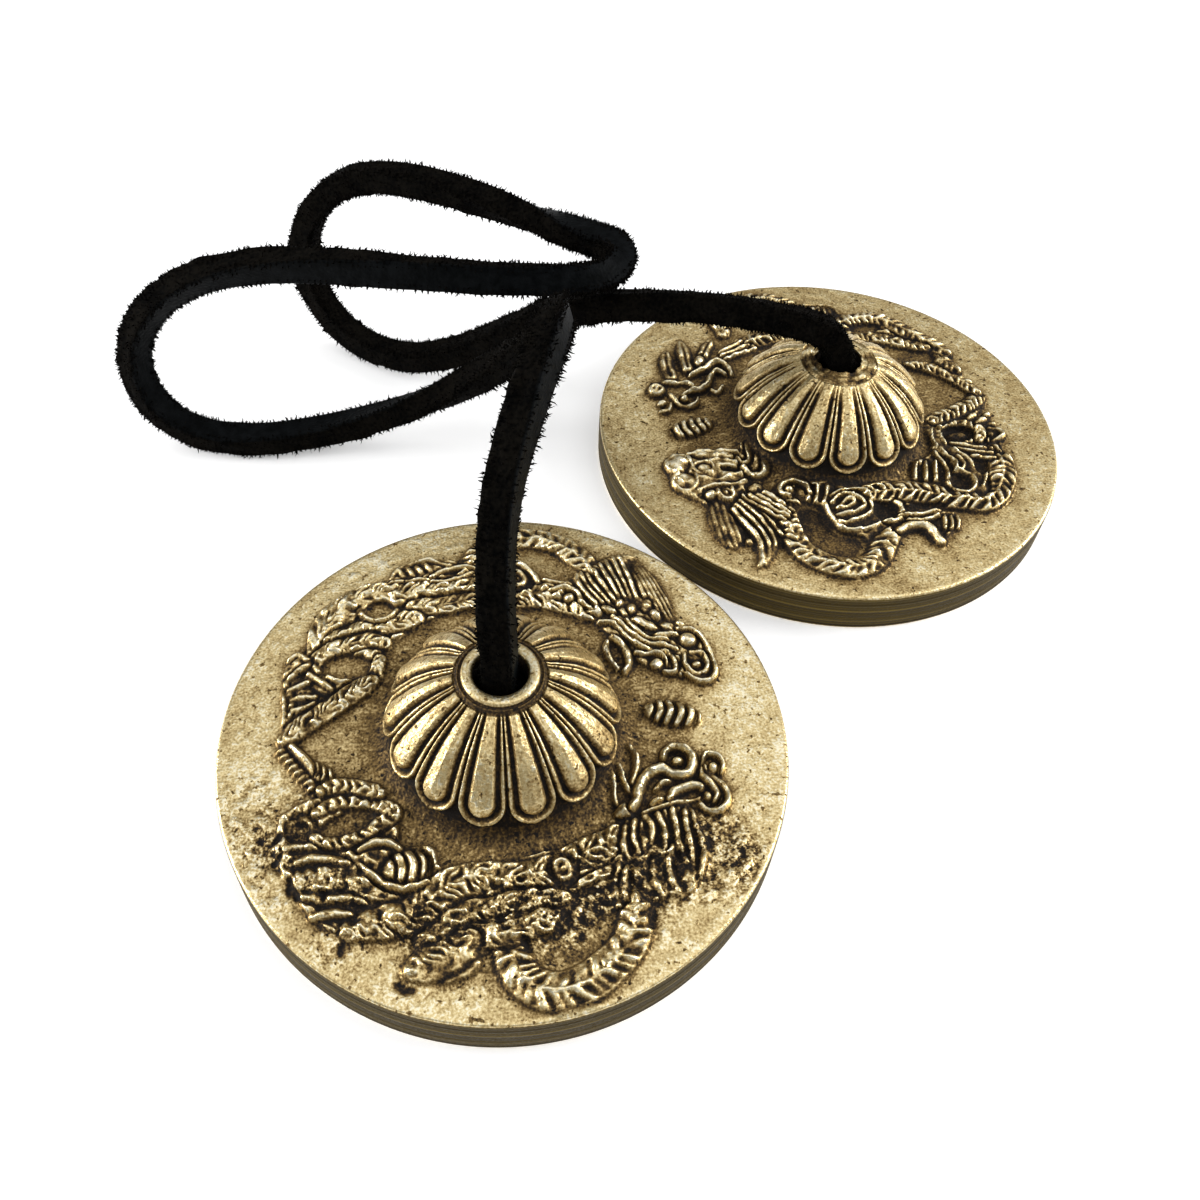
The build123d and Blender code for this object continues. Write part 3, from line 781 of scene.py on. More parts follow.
def near_tail(c):
    """Near dragon: tail, with barbs on its outer side."""
    for k in range(9):
        x, y = -23.7 + 0.42 * k, 2.3 - 0.78 * k
        c.ridge([(x, y), (x - 1.1, y - 0.1), (x - 2.0 + 0.05 * k, y - 0.35)], 0.3, 0.95, (1.0, 0.4))
    c.ridge([(-24.6, 3.4), (-23.5, 1.9), (-22.5, 0.4), (-21.6, -1.0), (-20.8, -2.2), (-19.4, -3.1)], 0.55,
            1.25, (0.7, 0.9))
    for x, y in ((-21.2, -0.1), (-20.5, -0.7), (-19.8, -1.3)):
        c.ridge([(x, y), (x + 0.1, y - 1.0), (x - 0.3, y - 1.9)], 0.25, 0.85)
    c.rope([(-20.8, -3.8), (-18.8, -3.6), (-16.8, -4.2), (-14.4, -5.4)], 0.85, 1.05, 0.95, spine=0.0)


def near_mane(c):
    """Near dragon: mane."""
    for points in (
        [(13.2, -13.4), (13.7, -14.9), (13.2, -16.6)],
        [(14.6, -13.6), (14.9, -15.4), (14.4, -17.6)],
        [(12.0, -13.8), (11.4, -15.6), (11.6, -17.6)],
        [(10.8, -14.4), (10.2, -16.2), (10.4, -18.2)],
        [(16.3, -13.4), (16.2, -15.6), (16.0, -17.4), (16.4, -19.4), (16.9, -21.0)],
        [(17.6, -13.8), (17.3, -16.0), (17.1, -18.0), (16.9, -20.2)],
        [(18.3, -15.6), (18.4, -18.0), (17.8, -20.0), (17.2, -21.4)],
        [(8.1, -22.6), (8.5, -20.4), (9.2, -18.2)],
        [(8.9, -22.2), (9.2, -20.6), (9.9, -18.8)],
        [(12.8, -18.6), (12.4, -20.6), (12.9, -22.6)],
        [(14.4, -18.8), (14.2, -21.0), (14.8, -23.0)],
    ):
        c.ridge(points, 0.46, 1.1, (0.9, 0.5))


def near_head(c):
    """Near dragon: head."""
    c.ridge([(13.5, -5.0), (14.0, -6.4), (13.6, -8.0), (12.8, -9.4)], 0.5, 1.0)
    c.ridge([(10.7, -7.6), (10.6, -9.4), (10.5, -11.2), (10.8, -12.6)], 0.3, 1.0)
    c.ridge([(11.6, -7.0), (11.8, -8.8), (12.3, -10.4), (13.0, -11.6)], 0.3, 1.05)
    c.mound((11.5, -12.5), 1.6, 0.95, 12, 1.45)
    c.mound((15.0, -12.2), 1.1, 0.55, 12, 1.25)
    c.ridge([(15.0, -10.8), (16.0, -10.1), (17.2, -10.0)], 0.35, 1.0)
    c.ridge([(16.2, -12.4), (17.0, -11.4), (18.3, -11.0), (19.8, -11.1), (20.4, -11.9)], 0.58, 1.35)
    c.ridge([(13.0, -13.1), (15.0, -12.9), (17.0, -12.6), (18.6, -12.7), (19.8, -12.5)], 0.25, 1.05)
    c.ridge([(21.2, -9.0), (21.5, -10.2), (22.4, -11.3), (22.8, -12.6), (22.3, -13.9), (21.2, -14.5),
            (20.0, -14.1), (19.5, -13.2)], 0.4, 1.35, (0.9, 0.7))
    c.ridge([(20.5, -7.2), (20.5, -8.6), (20.7, -10.0), (21.3, -11.2), (21.7, -12.4), (21.1, -13.1)],
            0.46, 1.4, (0.9, 0.8))
    c.mound((20.6, -12.5), 0.5, 0.65, 0, 1.2)
    c.ridge([(21.1, -8.4), (21.9, -7.5), (22.9, -7.8), (23.4, -8.9), (22.9, -10.1)], 0.33, 1.3)
    c.mound((22.2, -9.3), 0.6, 0.75, 0, 1.25)
    c.ridge([(12.2, -12.4), (12.9, -11.3), (13.4, -10.2), (14.4, -9.0), (15.6, -8.4), (16.8, -8.5),
            (17.6, -9.2), (18.6, -9.6), (19.6, -9.2), (20.1, -8.2), (20.1, -7.1), (19.4, -6.3),
            (18.4, -5.9), (17.4, -6.3), (17.0, -7.1)], 0.64, 1.5, (0.9, 0.6))
    c.mound((18.5, -7.8), 0.85, 0.6, 15, 1.35)


def far_body(c):
    """Far dragon: neck loop, back, haunch and belly."""
    c.rope([(-0.8, 22.8), (0.2, 25.0), (2.0, 26.8), (4.2, 27.8), (6.6, 28.0), (9.0, 27.4), (11.2, 26.2),
            (13.0, 24.6), (14.3, 22.9), (15.0, 21.0)], 1.45, 1.3, 1.2)
    c.rope([(13.6, 14.6), (12.0, 16.0), (10.0, 17.3), (7.5, 18.4), (5.0, 19.0), (2.5, 19.8), (0.5, 20.6),
            (-2.0, 21.0), (-4.5, 21.2), (-7.0, 21.5), (-9.5, 21.8), (-12.0, 22.1), (-14.2, 21.9),
            (-16.4, 20.8), (-18.2, 19.2), (-19.5, 17.0), (-20.2, 14.6)], 1.7, 1.4, 1.1, 1.0, 0.5, 1.0)
    c.mound((5.4, 21.6), 2.1, 2.5, 15, 1.25, 1.15, 0.55, 0.6)
    c.ridge([(4.4, 24.4), (6.5, 23.7), (7.6, 22.2), (8.0, 20.4)], 0.6, 1.1)
    c.rope([(0.6, 18.9), (-1.8, 19.2), (-4.0, 19.0), (-6.4, 19.2), (-8.2, 19.6)], 1.1, 1.1, 1.0, 0.9, 0.0,
            1.0)
    c.ridge([(9.2, 18.6), (11.0, 18.8), (12.6, 17.8), (12.7, 16.2), (13.6, 14.8)], 0.5, 1.3)
    c.mound((11.3, 17.0), 0.8, 0.9, 0, 1.25)


def far_claw(c):
    """Far dragon: claw above the back."""
    c.ridge([(-10.2, 24.4), (-9.4, 25.9), (-7.4, 26.4), (-5.4, 26.7), (-4.0, 26.0), (-2.6, 25.2),
            (-0.6, 24.9)], 0.35, 0.9)
    for x in (-8.9, -7.7, -6.5, -5.3):
        c.ridge([(x + 0.3, 24.4), (x, 25.2), (x - 0.4, 26.0)], 0.42, 0.95)
    c.ridge([(-5.8, 23.3), (-3.8, 24.4), (-1.4, 24.6), (0.6, 24.0)], 0.42, 1.1)
    c.ridge([(-5.4, 23.0), (-3.6, 22.7), (-1.6, 22.9), (0.2, 23.6)], 0.35, 1.0)
    c.ridge([(-10.4, 23.8), (-7.8, 23.7), (-5.6, 23.3)], 0.35, 0.95)


def far_hind_part(c):
    """Far dragon: hind part with knee, leg and two openings."""
    c.patch((-17.4, 18.0), 2.6, 2.4, 40, 1.15, 1.5)
    c.rope([(-7.8, 17.6), (-9.8, 17.5), (-12.0, 17.1), (-14.4, 17.1), (-16.6, 16.6), (-18.6, 15.8)], 1.2,
            1.2, 1.0, 1.0, 0.4, 1.0)
    c.pit((-12.2, 19.7), 1.5, 1.25, 0, shade=0.06)
    c.ridge([(-14.8, 20.3), (-14.0, 18.9), (-12.4, 18.0), (-10.8, 18.4), (-10.0, 19.5)], 0.42, 1.15)
    c.rope([(-12.0, 14.6), (-13.8, 15.4), (-16.0, 15.2), (-18.2, 14.8), (-20.2, 13.6), (-20.8, 11.8),
            (-19.8, 10.2), (-17.8, 9.3), (-15.6, 9.5), (-13.8, 10.6), (-12.8, 12.4)], 1.0, 1.2, 1.0, 0.9,
            0.0, 1.0)
    c.pit((-16.9, 12.1), 2.75, 1.55, -5, 0.3, -0.05, 0.06)
    c.ridge([(-19.2, 11.2), (-18.0, 10.2), (-16.2, 9.9), (-14.4, 10.7)], 0.35, 1.2)
    for points in (
        [(-23.6, 14.2), (-22.4, 14.8), (-21.2, 13.6), (-20.2, 12.0)],
        [(-24.0, 11.4), (-22.6, 12.4), (-21.2, 13.2)],
        [(-24.2, 11.2), (-23.8, 9.8), (-23.5, 8.4), (-23.8, 6.6)],
        [(-23.8, 10.1), (-22.2, 10.4), (-20.6, 11.0)],
        [(-23.6, 8.7), (-22.2, 8.7), (-20.8, 8.5)],
        [(-23.5, 7.2), (-22.2, 7.2), (-21.0, 7.6)],
        [(-21.4, 11.9), (-20.2, 10.6), (-18.8, 9.2)],
    ):
        c.ridge(points, 0.42, 1.05, (0.8, 0.8))
    c.rope([(-14.2, 9.5), (-16.5, 8.2), (-18.5, 7.0), (-20.5, 5.9), (-22.4, 4.9), (-24.6, 3.5)], 1.15,
            1.15, 1.0, 1.1, 0.0, 1.0)
    c.hollow([(5.6, 26.0), (7.0, 26.6), (10.0, 25.6), (11.5, 24.3), (12.5, 22.0), (12.3, 20.0),
            (11.4, 19.6), (9.6, 20.4), (8.0, 21.8), (6.8, 23.4)])


def far_mane(c):
    """Far dragon: mane."""
    c.mound((21.9, 16.4), 1.65, 5.2, 13, 0.95, flat=0.3)
    for x in (-1.1, -0.55, 0.0, 0.55, 1.1):
        c.line_cut([(22.9 + x, 12.0), (22.2 + x, 16.0), (21.2 + 0.8 * x, 20.8)], 0.2, 0.45)
    for points in (
        [(19.6, 15.8), (19.5, 18.4), (19.3, 20.6), (19.2, 22.4)],
        [(18.9, 15.9), (18.6, 18.4), (18.4, 20.5), (18.3, 22.6)],
        [(18.2, 16.1), (17.8, 18.4), (17.5, 20.4), (17.3, 22.4)],
        [(17.5, 16.0), (17.1, 18.0), (16.7, 20.0), (16.4, 21.9)],
        [(16.8, 15.8), (16.2, 17.8), (15.7, 19.4), (15.5, 21.0)],
        [(16.0, 15.6), (15.3, 17.4), (14.7, 19.0), (14.4, 20.6)],
        [(15.3, 15.5), (14.4, 17.4), (13.8, 19.2), (13.7, 21.0)],
        [(14.6, 15.3), (13.6, 17.4), (13.0, 19.4), (13.1, 20.8)],
    ):
        c.ridge(points, 0.42, 1.1, (0.9, 0.5))


def far_head(c):
    """Far dragon: brow, snout, jaws and beard."""
    c.mound((15.8, 14.4), 1.2, 0.6, -40, 1.1)
    c.mound((17.4, 15.2), 0.8, 0.5, 60, 1.1)
    c.mound((18.7, 14.1), 1.0, 0.6, 70, 1.15)
    c.mound((20.6, 14.2), 1.1, 0.7, 60, 1.1, 0.9, 0.5)
    c.mound((21.3, 12.5), 1.0, 0.6, 110, 1.05)
    c.mound((19.6, 11.4), 2.0, 0.8, -35, 1.3)
    c.ridge([(20.0, 9.5), (21.5, 9.3), (23.2, 9.0)], 0.5, 1.25)
    for points, width in (
        ([(14.2, 12.7), (15.8, 12.2), (16.7, 11.0), (17.4, 9.5), (18.2, 8.2), (19.5, 7.4), (21.0, 6.7),
                (22.3, 5.6)], 0.42),
        ([(16.0, 13.2), (16.8, 11.8), (17.6, 10.4), (18.4, 9.2), (19.6, 8.4), (21.3, 7.8), (22.5, 7.0)],
                0.36),
        ([(17.5, 12.3), (18.2, 10.8), (19.0, 9.7), (20.2, 9.0), (21.8, 8.6)], 0.32),
        ([(17.0, 7.6), (18.4, 7.0), (19.8, 6.9), (20.7, 6.0), (20.6, 4.9)], 0.34),
        ([(20.2, 4.2), (21.3, 3.9), (21.8, 4.9), (21.6, 6.0)], 0.36),
        ([(15.0, 10.4), (14.2, 9.0), (14.2, 7.2), (14.8, 5.6)], 0.42),
        ([(15.2, 10.2), (16.1, 9.2), (16.5, 7.6), (16.3, 6.0), (15.5, 5.0)], 0.52),
        ([(22.6, 3.3), (23.6, 2.3), (25.0, 2.0), (26.2, 3.0), (26.4, 5.4), (26.0, 7.8), (25.1, 9.4),
                (23.4, 9.9)], 0.36),
        ([(23.2, 6.0), (22.9, 4.6), (23.6, 3.3), (24.9, 3.2), (25.6, 4.4), (25.2, 5.9), (24.0, 6.2)], 0.36),
    ):
        c.ridge(points, width, 1.25, (0.8, 0.7))
    c.mound((19.6, 5.4), 0.95, 0.85, 0, 1.15)
    c.mound((24.2, 4.4), 0.75, 0.5, 0, 1.2)
    c.mound((24.2, 8.0), 1.15, 1.2, 0, 1.4)


def draw_front_ornament(c):
    """Dragons and pearl of the front cymbal. The line from its centre to the pearl is the first axis."""
    for draw_section in (
        front_bodies,
        near_body,
        near_hind_part,
        near_tail,
        near_mane,
        near_head,
        far_body,
        far_claw,
        far_hind_part,
        far_mane,
        far_head,
    ):
        draw_section(c)
    draw_pearl(c, (19.6, -1.5), -21)


def rear_bodies(c):
    """Bodies of both dragons, with their manes and heads."""
    c.mass([(-24.6, 5.0), (-23.4, 8.6), (-22.6, 12.0), (-21.8, 15.5), (-20.0, 18.4), (-17.6, 20.0),
            (-14.0, 19.4), (-13.0, 17.0), (-13.4, 14.6), (-12.6, 13.0), (-9.2, 13.0), (-9.2, 10.2),
            (-12.4, 8.6), (-13.8, 5.6), (-15.0, 1.6), (-18.0, 1.2), (-21.4, 0.0), (-24.4, -2.2),
            (-24.4, -0.6), (-22.2, 1.6), (-24.0, 2.4)], 0.85, 1.1, 1.8, 120)
    c.mass([(-9.5, 13.4), (-9.8, 18.4), (-12.6, 19.6), (-12.6, 22.0), (-10.6, 23.2), (-8.6, 24.8),
            (-7.0, 22.4), (-4.4, 22.6), (-2.0, 24.6), (0.6, 24.6), (1.0, 22.6), (3.4, 21.4), (4.2, 18.0),
            (5.4, 16.4), (8.0, 15.8), (9.8, 15.0), (10.6, 12.6), (8.6, 11.2), (5.6, 12.4), (0.0, 13.2),
            (-5.0, 13.2)], 0.85, 1.1, 1.8, 80)
    c.mass([(9.4, 16.0), (9.4, 19.5), (10.8, 21.6), (13.0, 23.4), (15.2, 26.0), (16.0, 22.4),
            (18.6, 22.4), (20.4, 19.4), (20.6, 14.8), (23.6, 12.2), (24.6, 8.6), (23.4, 5.4), (18.0, 4.7),
            (14.0, 5.6), (13.0, 3.6), (11.0, 5.0), (10.4, 9.0), (11.6, 10.8), (12.0, 12.6), (10.6, 14.0)],
            0.85, 1.0, 2.2, 110)
    c.mass([(-24.0, -3.0), (-22.4, -8.0), (-22.6, -12.6), (-19.8, -17.4), (-16.0, -21.0), (-10.0, -23.0),
            (-8.0, -26.2), (-2.6, -26.4), (-1.6, -23.0), (6.0, -20.4), (10.0, -18.4), (12.0, -16.0),
            (9.0, -15.0), (2.0, -18.0), (-6.0, -18.6), (-11.4, -16.4), (-16.8, -13.8), (-20.0, -12.6),
            (-15.6, -10.0), (-20.0, -7.0)], 0.85, 1.1, 1.8, 30)


def first_body(c):
    """First dragon: neck loop, haunch, belly and the long back."""
    c.rope([(9.8, 17.4), (10.1, 19.4), (10.1, 21.6), (9.4, 24.0), (7.9, 25.8), (6.0, 27.0), (3.8, 27.5),
            (1.5, 27.1), (-0.2, 25.7), (-1.5, 23.9), (-3.4, 22.2)], 1.4, 1.35, 1.15, 0.7, 0.7, 0.6)
    c.ridge([(6.6, 14.2), (3.6, 14.0), (0.5, 14.4), (-2.5, 15.0)], 1.6, 0.6, (1, 1), flat=0.2)
    c.mound((0.9, 17.9), 4.4, 3.6, 25, 0.6, flat=0.2)
    c.rope([(-1.8, 15.0), (-5.0, 15.0), (-7.5, 15.2), (-10.0, 15.9), (-12.5, 16.9), (-14.6, 17.4),
            (-16.5, 18.0), (-18.2, 17.4), (-19.6, 16.2), (-21.4, 13.6), (-22.2, 11.0), (-22.2, 8.6)], 1.6,
            1.35, 1.25, 0.6)
    c.veins(([(4.6, 16.6), (4.4, 18.0), (4.0, 19.6), (3.6, 20.9), (2.6, 21.4), (1.0, 21.5), (-1.0, 21.0),
            (-2.3, 20.2)], [(3.7, 20.0), (2.4, 20.0), (0.5, 19.5), (-1.0, 18.7), (-1.7, 17.6),
            (-1.6, 16.6)], [(3.5, 18.6), (1.8, 18.6), (0.1, 18.0), (-0.8, 17.2), (-0.6, 16.2),
            (0.1, 15.5)], [(3.1, 17.5), (1.7, 17.3), (0.7, 16.8), (0.5, 16.2), (1.1, 15.9), (1.9, 16.3),
            (3.1, 17.5)], [(-2.0, 16.4), (-1.9, 15.5), (-1.2, 14.6), (0.2, 14.1), (2.0, 14.3),
            (3.4, 15.0)], [(0.4, 15.3), (1.4, 14.9), (2.6, 15.3), (3.6, 16.4)], [(3.4, 13.2), (3.9, 14.8),
            (4.6, 16.2)], [(4.5, 12.9), (5.1, 14.4), (5.6, 15.8)], [(5.5, 12.8), (6.1, 14.0),
            (6.5, 15.4)], [(2.2, 12.9), (4.0, 12.7), (5.8, 12.6)], ), 0.3, 1.4)
    c.hollow([(1.4, 24.0), (1.2, 23.0), (2.0, 22.1), (3.7, 21.6), (4.6, 20.0), (4.9, 18.0), (5.6, 16.9),
            (7.2, 16.3), (8.4, 16.9), (8.7, 18.6), (8.5, 20.8), (8.2, 22.6), (7.1, 24.1), (5.2, 25.3),
            (3.0, 25.5)], -0.1, 0.32)
    c.pit((-3.3, 18.3), 1.35, 1.3, 0, 0.35, -0.15)
    c.ridge([(-5.0, 19.6), (-5.7, 18.0), (-5.0, 16.9)], 0.5, 1.1)
    c.ridge([(-2.4, 20.2), (-3.7, 20.4), (-5.2, 19.8)], 0.45, 1.1)
    c.ridge([(-4.0, 22.0), (-6.0, 21.3), (-7.6, 21.6), (-8.4, 22.8), (-8.9, 24.2)], 0.85, 1.3, (0.8, 0.9))
    c.ridge([(-4.8, 19.4), (-7.2, 19.5), (-9.4, 19.2), (-10.8, 18.9)], 0.36, 1.05)
    c.ridge([(-5.6, 20.3), (-7.2, 20.6), (-8.8, 20.4), (-10.2, 19.9)], 0.36, 1.0)
    c.pit((-8.8, 18.2), 2.6, 0.55, -3, 0.35, -0.1)
    for x in (-12.6, -11.7, -10.8):
        c.ridge([(x, 20.2), (x + 0.3, 21.3), (x + 0.7, 22.4)], 0.4, 1.05)


def first_hind_part(c):
    """First dragon: hind part, knee and leg."""
    c.mound((-15.3, 14.1), 2.6, 2.4, 0, 0.75, flat=0.25)
    c.ridge([(-17.4, 15.6), (-18.0, 13.0), (-17.4, 10.4), (-16.2, 8.2), (-15.0, 6.6), (-14.6, 4.6),
            (-15.4, 2.6)], 1.3, 0.7, (1, 1), flat=0.25)
    c.veins((
        [(-17.2, 13.2), (-17.2, 14.6), (-16.4, 15.8), (-15.0, 16.2), (-13.7, 15.4), (-13.3, 14.0)],
        [(-16.9, 12.9), (-16.0, 12.1), (-14.9, 12.2), (-13.9, 13.0)],
        [(-16.4, 11.8), (-16.9, 10.8), (-16.3, 9.5)],
        [(-18.4, 13.0), (-18.1, 11.2), (-17.3, 9.6), (-16.2, 8.2)],
        [(-15.3, 12.0), (-15.7, 10.6), (-15.0, 9.2), (-14.4, 7.8)],
        [(-17.9, 15.4), (-18.7, 14.2), (-19.2, 13.0)],
        [(-14.0, 7.4), (-13.8, 5.6), (-14.2, 3.6)],
        [(-15.6, 7.0), (-15.5, 5.0), (-16.2, 3.2)],
    ), 0.28, 1.25)
    c.pit((-15.3, 14.2), 1.2, 1.3, 20, 0.35, -0.2)
    c.pit((-19.2, 11.3), 0.8, 1.5, -10, 0.35, -0.2)
    for points in (
        [(-13.7, 13.4), (-14.2, 11.8), (-13.9, 10.0), (-13.3, 8.3)],
        [(-12.0, 13.4), (-12.5, 11.8), (-12.8, 10.3)],
        [(-10.6, 13.3), (-11.1, 11.6), (-11.6, 9.9)],
        [(-9.2, 12.9), (-9.4, 11.5), (-9.8, 10.2)],
        [(-21.6, 10.3), (-20.0, 9.9), (-18.4, 9.6)],
        [(-21.6, 9.2), (-20.0, 8.8), (-18.4, 8.4), (-17.0, 7.8)],
        [(-21.0, 8.2), (-19.4, 7.8), (-17.8, 7.3), (-16.4, 6.6)],
        [(-22.8, 9.2), (-22.4, 7.4), (-21.6, 5.8), (-21.0, 4.4), (-19.9, 3.0)],
        [(-22.6, 6.9), (-24.4, 6.0), (-24.2, 4.8), (-22.9, 4.3)],
    ):
        c.ridge(points, 0.42, 1.1, (0.8, 0.7))
    c.rope([(-20.6, 6.6), (-21.4, 5.0), (-20.4, 3.4), (-18.2, 2.7), (-15.9, 3.4)], 0.7, 1.15, 0.95,
            spine=0.0)
    c.pit((-18.1, 4.9), 2.2, 1.4, 0, 0.3, -0.3)
    c.mound((-18.0, 5.2), 1.5, 0.75, 0, 0.6)
    c.mound((-22.6, 2.6), 1.7, 0.65, 25, 1.0)
    c.mound((-23.7, 1.5), 0.9, 0.5, 20, 0.9)
    c.rope([(-15.2, 2.0), (-17.4, 1.2), (-20.0, 0.1), (-22.4, -1.2), (-24.4, -2.6)], 1.1, 1.2, 0.95, 0.5,
            0.0)


def first_mane(c):
    """First dragon: curl behind the jaw, and mane."""
    c.ridge([(5.9, 14.2), (6.2, 12.7), (7.3, 11.8), (8.7, 11.8), (9.7, 12.8), (9.7, 14.0), (8.8, 14.6)],
            0.5, 1.2, (0.8, 0.5))
    c.mound((8.6, 13.3), 0.75, 0.7, 0, 1.2)
    c.mound((18.5, 18.4), 2.25, 4.4, 4, 1.0, flat=0.3)
    for x in (17.0, 17.8, 18.6, 19.4, 20.1):
        c.line_cut([(x, 14.6), (x + 0.1, 18.0), (x - 0.25, 22.3)], 0.2, 0.4)
    for points in (
        [(15.0, 13.6), (13.4, 15.4), (12.0, 17.0), (10.4, 18.8)],
        [(14.2, 13.7), (12.6, 15.2), (11.0, 17.1), (9.9, 18.2)],
        [(13.2, 13.6), (11.8, 14.9), (10.6, 16.4), (9.6, 17.5)],
        [(12.2, 13.4), (11.0, 14.6), (10.0, 16.0)],
        [(15.0, 15.4), (13.6, 17.2), (12.4, 19.2), (11.6, 21.2)],
        [(15.8, 14.6), (14.6, 16.6), (13.6, 18.6), (13.0, 20.6), (13.0, 22.4), (13.6, 24.2), (14.4, 25.3)],
        [(16.4, 15.3), (15.5, 17.2), (14.5, 19.2), (13.9, 21.2), (13.9, 22.9), (14.3, 24.6), (14.9, 25.7)],
        [(17.0, 16.0), (16.5, 17.6), (15.6, 19.6), (14.9, 21.4), (14.8, 23.0), (15.1, 24.8), (15.7, 25.9)],
    ):
        c.ridge(points, 0.5, 1.2, (0.9, 0.5))


def first_head(c):
    """First dragon: brow, snout with two lobes, open mouth, jaw and beard."""
    c.mound((13.2, 12.4), 1.2, 0.9, 15, 1.1)
    c.mound((17.4, 13.1), 0.95, 1.1, 0, 1.35, 0.9, 0.5)
    c.mound((19.5, 13.3), 0.95, 0.9, 0, 1.25)
    c.mound((18.9, 8.6), 5.7, 3.5, 4, 1.15, flat=0.2)
    c.mound((22.4, 10.5), 1.75, 1.6, 0, 1.4, moat=0.15, flat=0.35)
    c.mound((22.8, 7.2), 1.95, 1.85, 0, 1.45, moat=0.15, flat=0.35)
    c.mound((17.4, 6.0), 3.5, 0.9, -8, 1.4, moat=0.12, flat=0.35)
    c.mound((19.4, 8.4), 1.2, 1.0, 10, 1.35, moat=0.15, flat=0.35)
    c.pit((15.6, 9.0), 1.3, 0.4, -12, 0.3, 0.2, 0.2)
    c.veins((
        [(20.8, 9.4), (20.9, 11.0), (22.2, 12.1), (23.7, 11.6), (24.2, 10.2), (23.3, 9.1)],
        [(21.6, 8.9), (21.0, 7.4), (21.6, 5.8), (23.2, 5.4), (24.5, 6.6), (24.4, 8.2), (23.2, 9.0)],
        [(22.0, 10.0), (22.6, 10.8), (23.4, 10.2)],
        [(18.6, 9.3), (18.1, 8.2), (18.8, 7.2), (20.2, 7.1), (20.9, 8.2), (20.2, 9.2), (18.9, 9.2)],
        [(14.2, 9.7), (15.8, 9.8), (17.2, 10.6), (18.8, 10.4), (20.6, 9.8)],
        [(14.0, 11.2), (15.6, 11.6), (17.4, 11.6), (19.4, 11.7), (21.0, 12.2)],
        [(13.8, 8.3), (15.2, 7.4), (17.0, 6.9), (18.4, 6.9)],
        [(14.0, 5.6), (16.4, 5.2), (18.8, 5.0), (21.2, 5.3)],
        [(16.4, 12.4), (16.5, 13.8), (17.4, 14.4), (18.4, 13.8), (18.4, 12.4)],
    ), 0.26, 1.6)
    c.ridge([(10.7, 5.4), (10.5, 7.8), (11.0, 9.5), (12.2, 10.2), (13.4, 9.7), (14.1, 8.4)], 0.6, 1.45)
    c.ridge([(12.5, 4.4), (12.4, 6.2), (12.9, 7.4), (13.8, 7.6), (14.4, 6.6)], 0.4, 1.2)


def second_hind_part(c):
    """Second dragon: tail and hind part."""
    c.rope([(-24.0, -3.2), (-22.6, -5.6), (-20.8, -7.8), (-18.6, -9.6), (-16.0, -10.8)], 1.0, 1.15, 0.95,
            0.6)
    c.rope([(-22.6, -8.6), (-21.8, -10.2), (-21.0, -11.8)], 1.2, 1.1, 0.85, spine=0.0)
    c.rope([(-22.4, -12.6), (-21.2, -14.4), (-19.6, -16.2), (-18.2, -18.0), (-16.0, -20.4),
            (-13.0, -21.8), (-9.6, -21.6), (-6.8, -20.6)], 1.35, 1.25, 1.1)
    c.rope([(-19.8, -14.0), (-17.0, -15.2), (-14.4, -16.6), (-11.4, -17.6), (-8.6, -18.4)], 0.95, 1.15,
            1.0, 0.4, 0.0)
    c.pit((-17.6, -12.2), 2.6, 1.3, -8)
    c.pit((-12.0, -19.8), 2.1, 0.8, -4)
    c.mound((-5.2, -24.4), 3.0, 1.7, 5, 1.25)
    for x in (-7.4, -6.5, -5.6, -4.7, -3.8, -2.9):
        c.line_cut([(x, -22.8), (x + 0.25, -24.4), (x - 0.1, -26.0)], 0.24, 0.8)


def second_body(c):
    """Second dragon: back, neck loop and the leg under the thong."""
    c.rope([(-6.4, -20.4), (-2.6, -20.2), (1.2, -19.6), (4.8, -18.8), (8.4, -17.4)], 1.3, 1.2, 1.1)
    c.rope([(-1.8, -23.4), (-1.4, -26.0), (1.2, -28.2), (4.8, -28.2), (8.4, -26.4), (10.2, -23.6),
            (10.4, -20.8)], 1.45, 1.25, 1.2)
    for x in (0.0, 0.9, 1.8):
        c.ridge([(6.2 + x, -16.6 - x), (9.2 + 0.5 * x, -15.6 - 0.9 * x), (12.0, -14.4 - x)], 0.4, 1.0)


def second_mane(c):
    """Second dragon: mane of pointed leaves."""
    for points, width in (
        ([(15.2, -14.6), (14.0, -17.2), (12.3, -20.0)], 0.85),
        ([(17.6, -13.0), (17.5, -16.4), (17.5, -20.0)], 1.0),
        ([(20.4, -11.4), (20.6, -14.4), (20.1, -17.8)], 1.0),
    ):
        c.ridge(points, width, 1.15, (0.9, 0.15))
        c.line_cut(points, 0.3, 0.6)
    c.mound((15.6, -14.4), 1.0, 1.4, -20, 1.2)


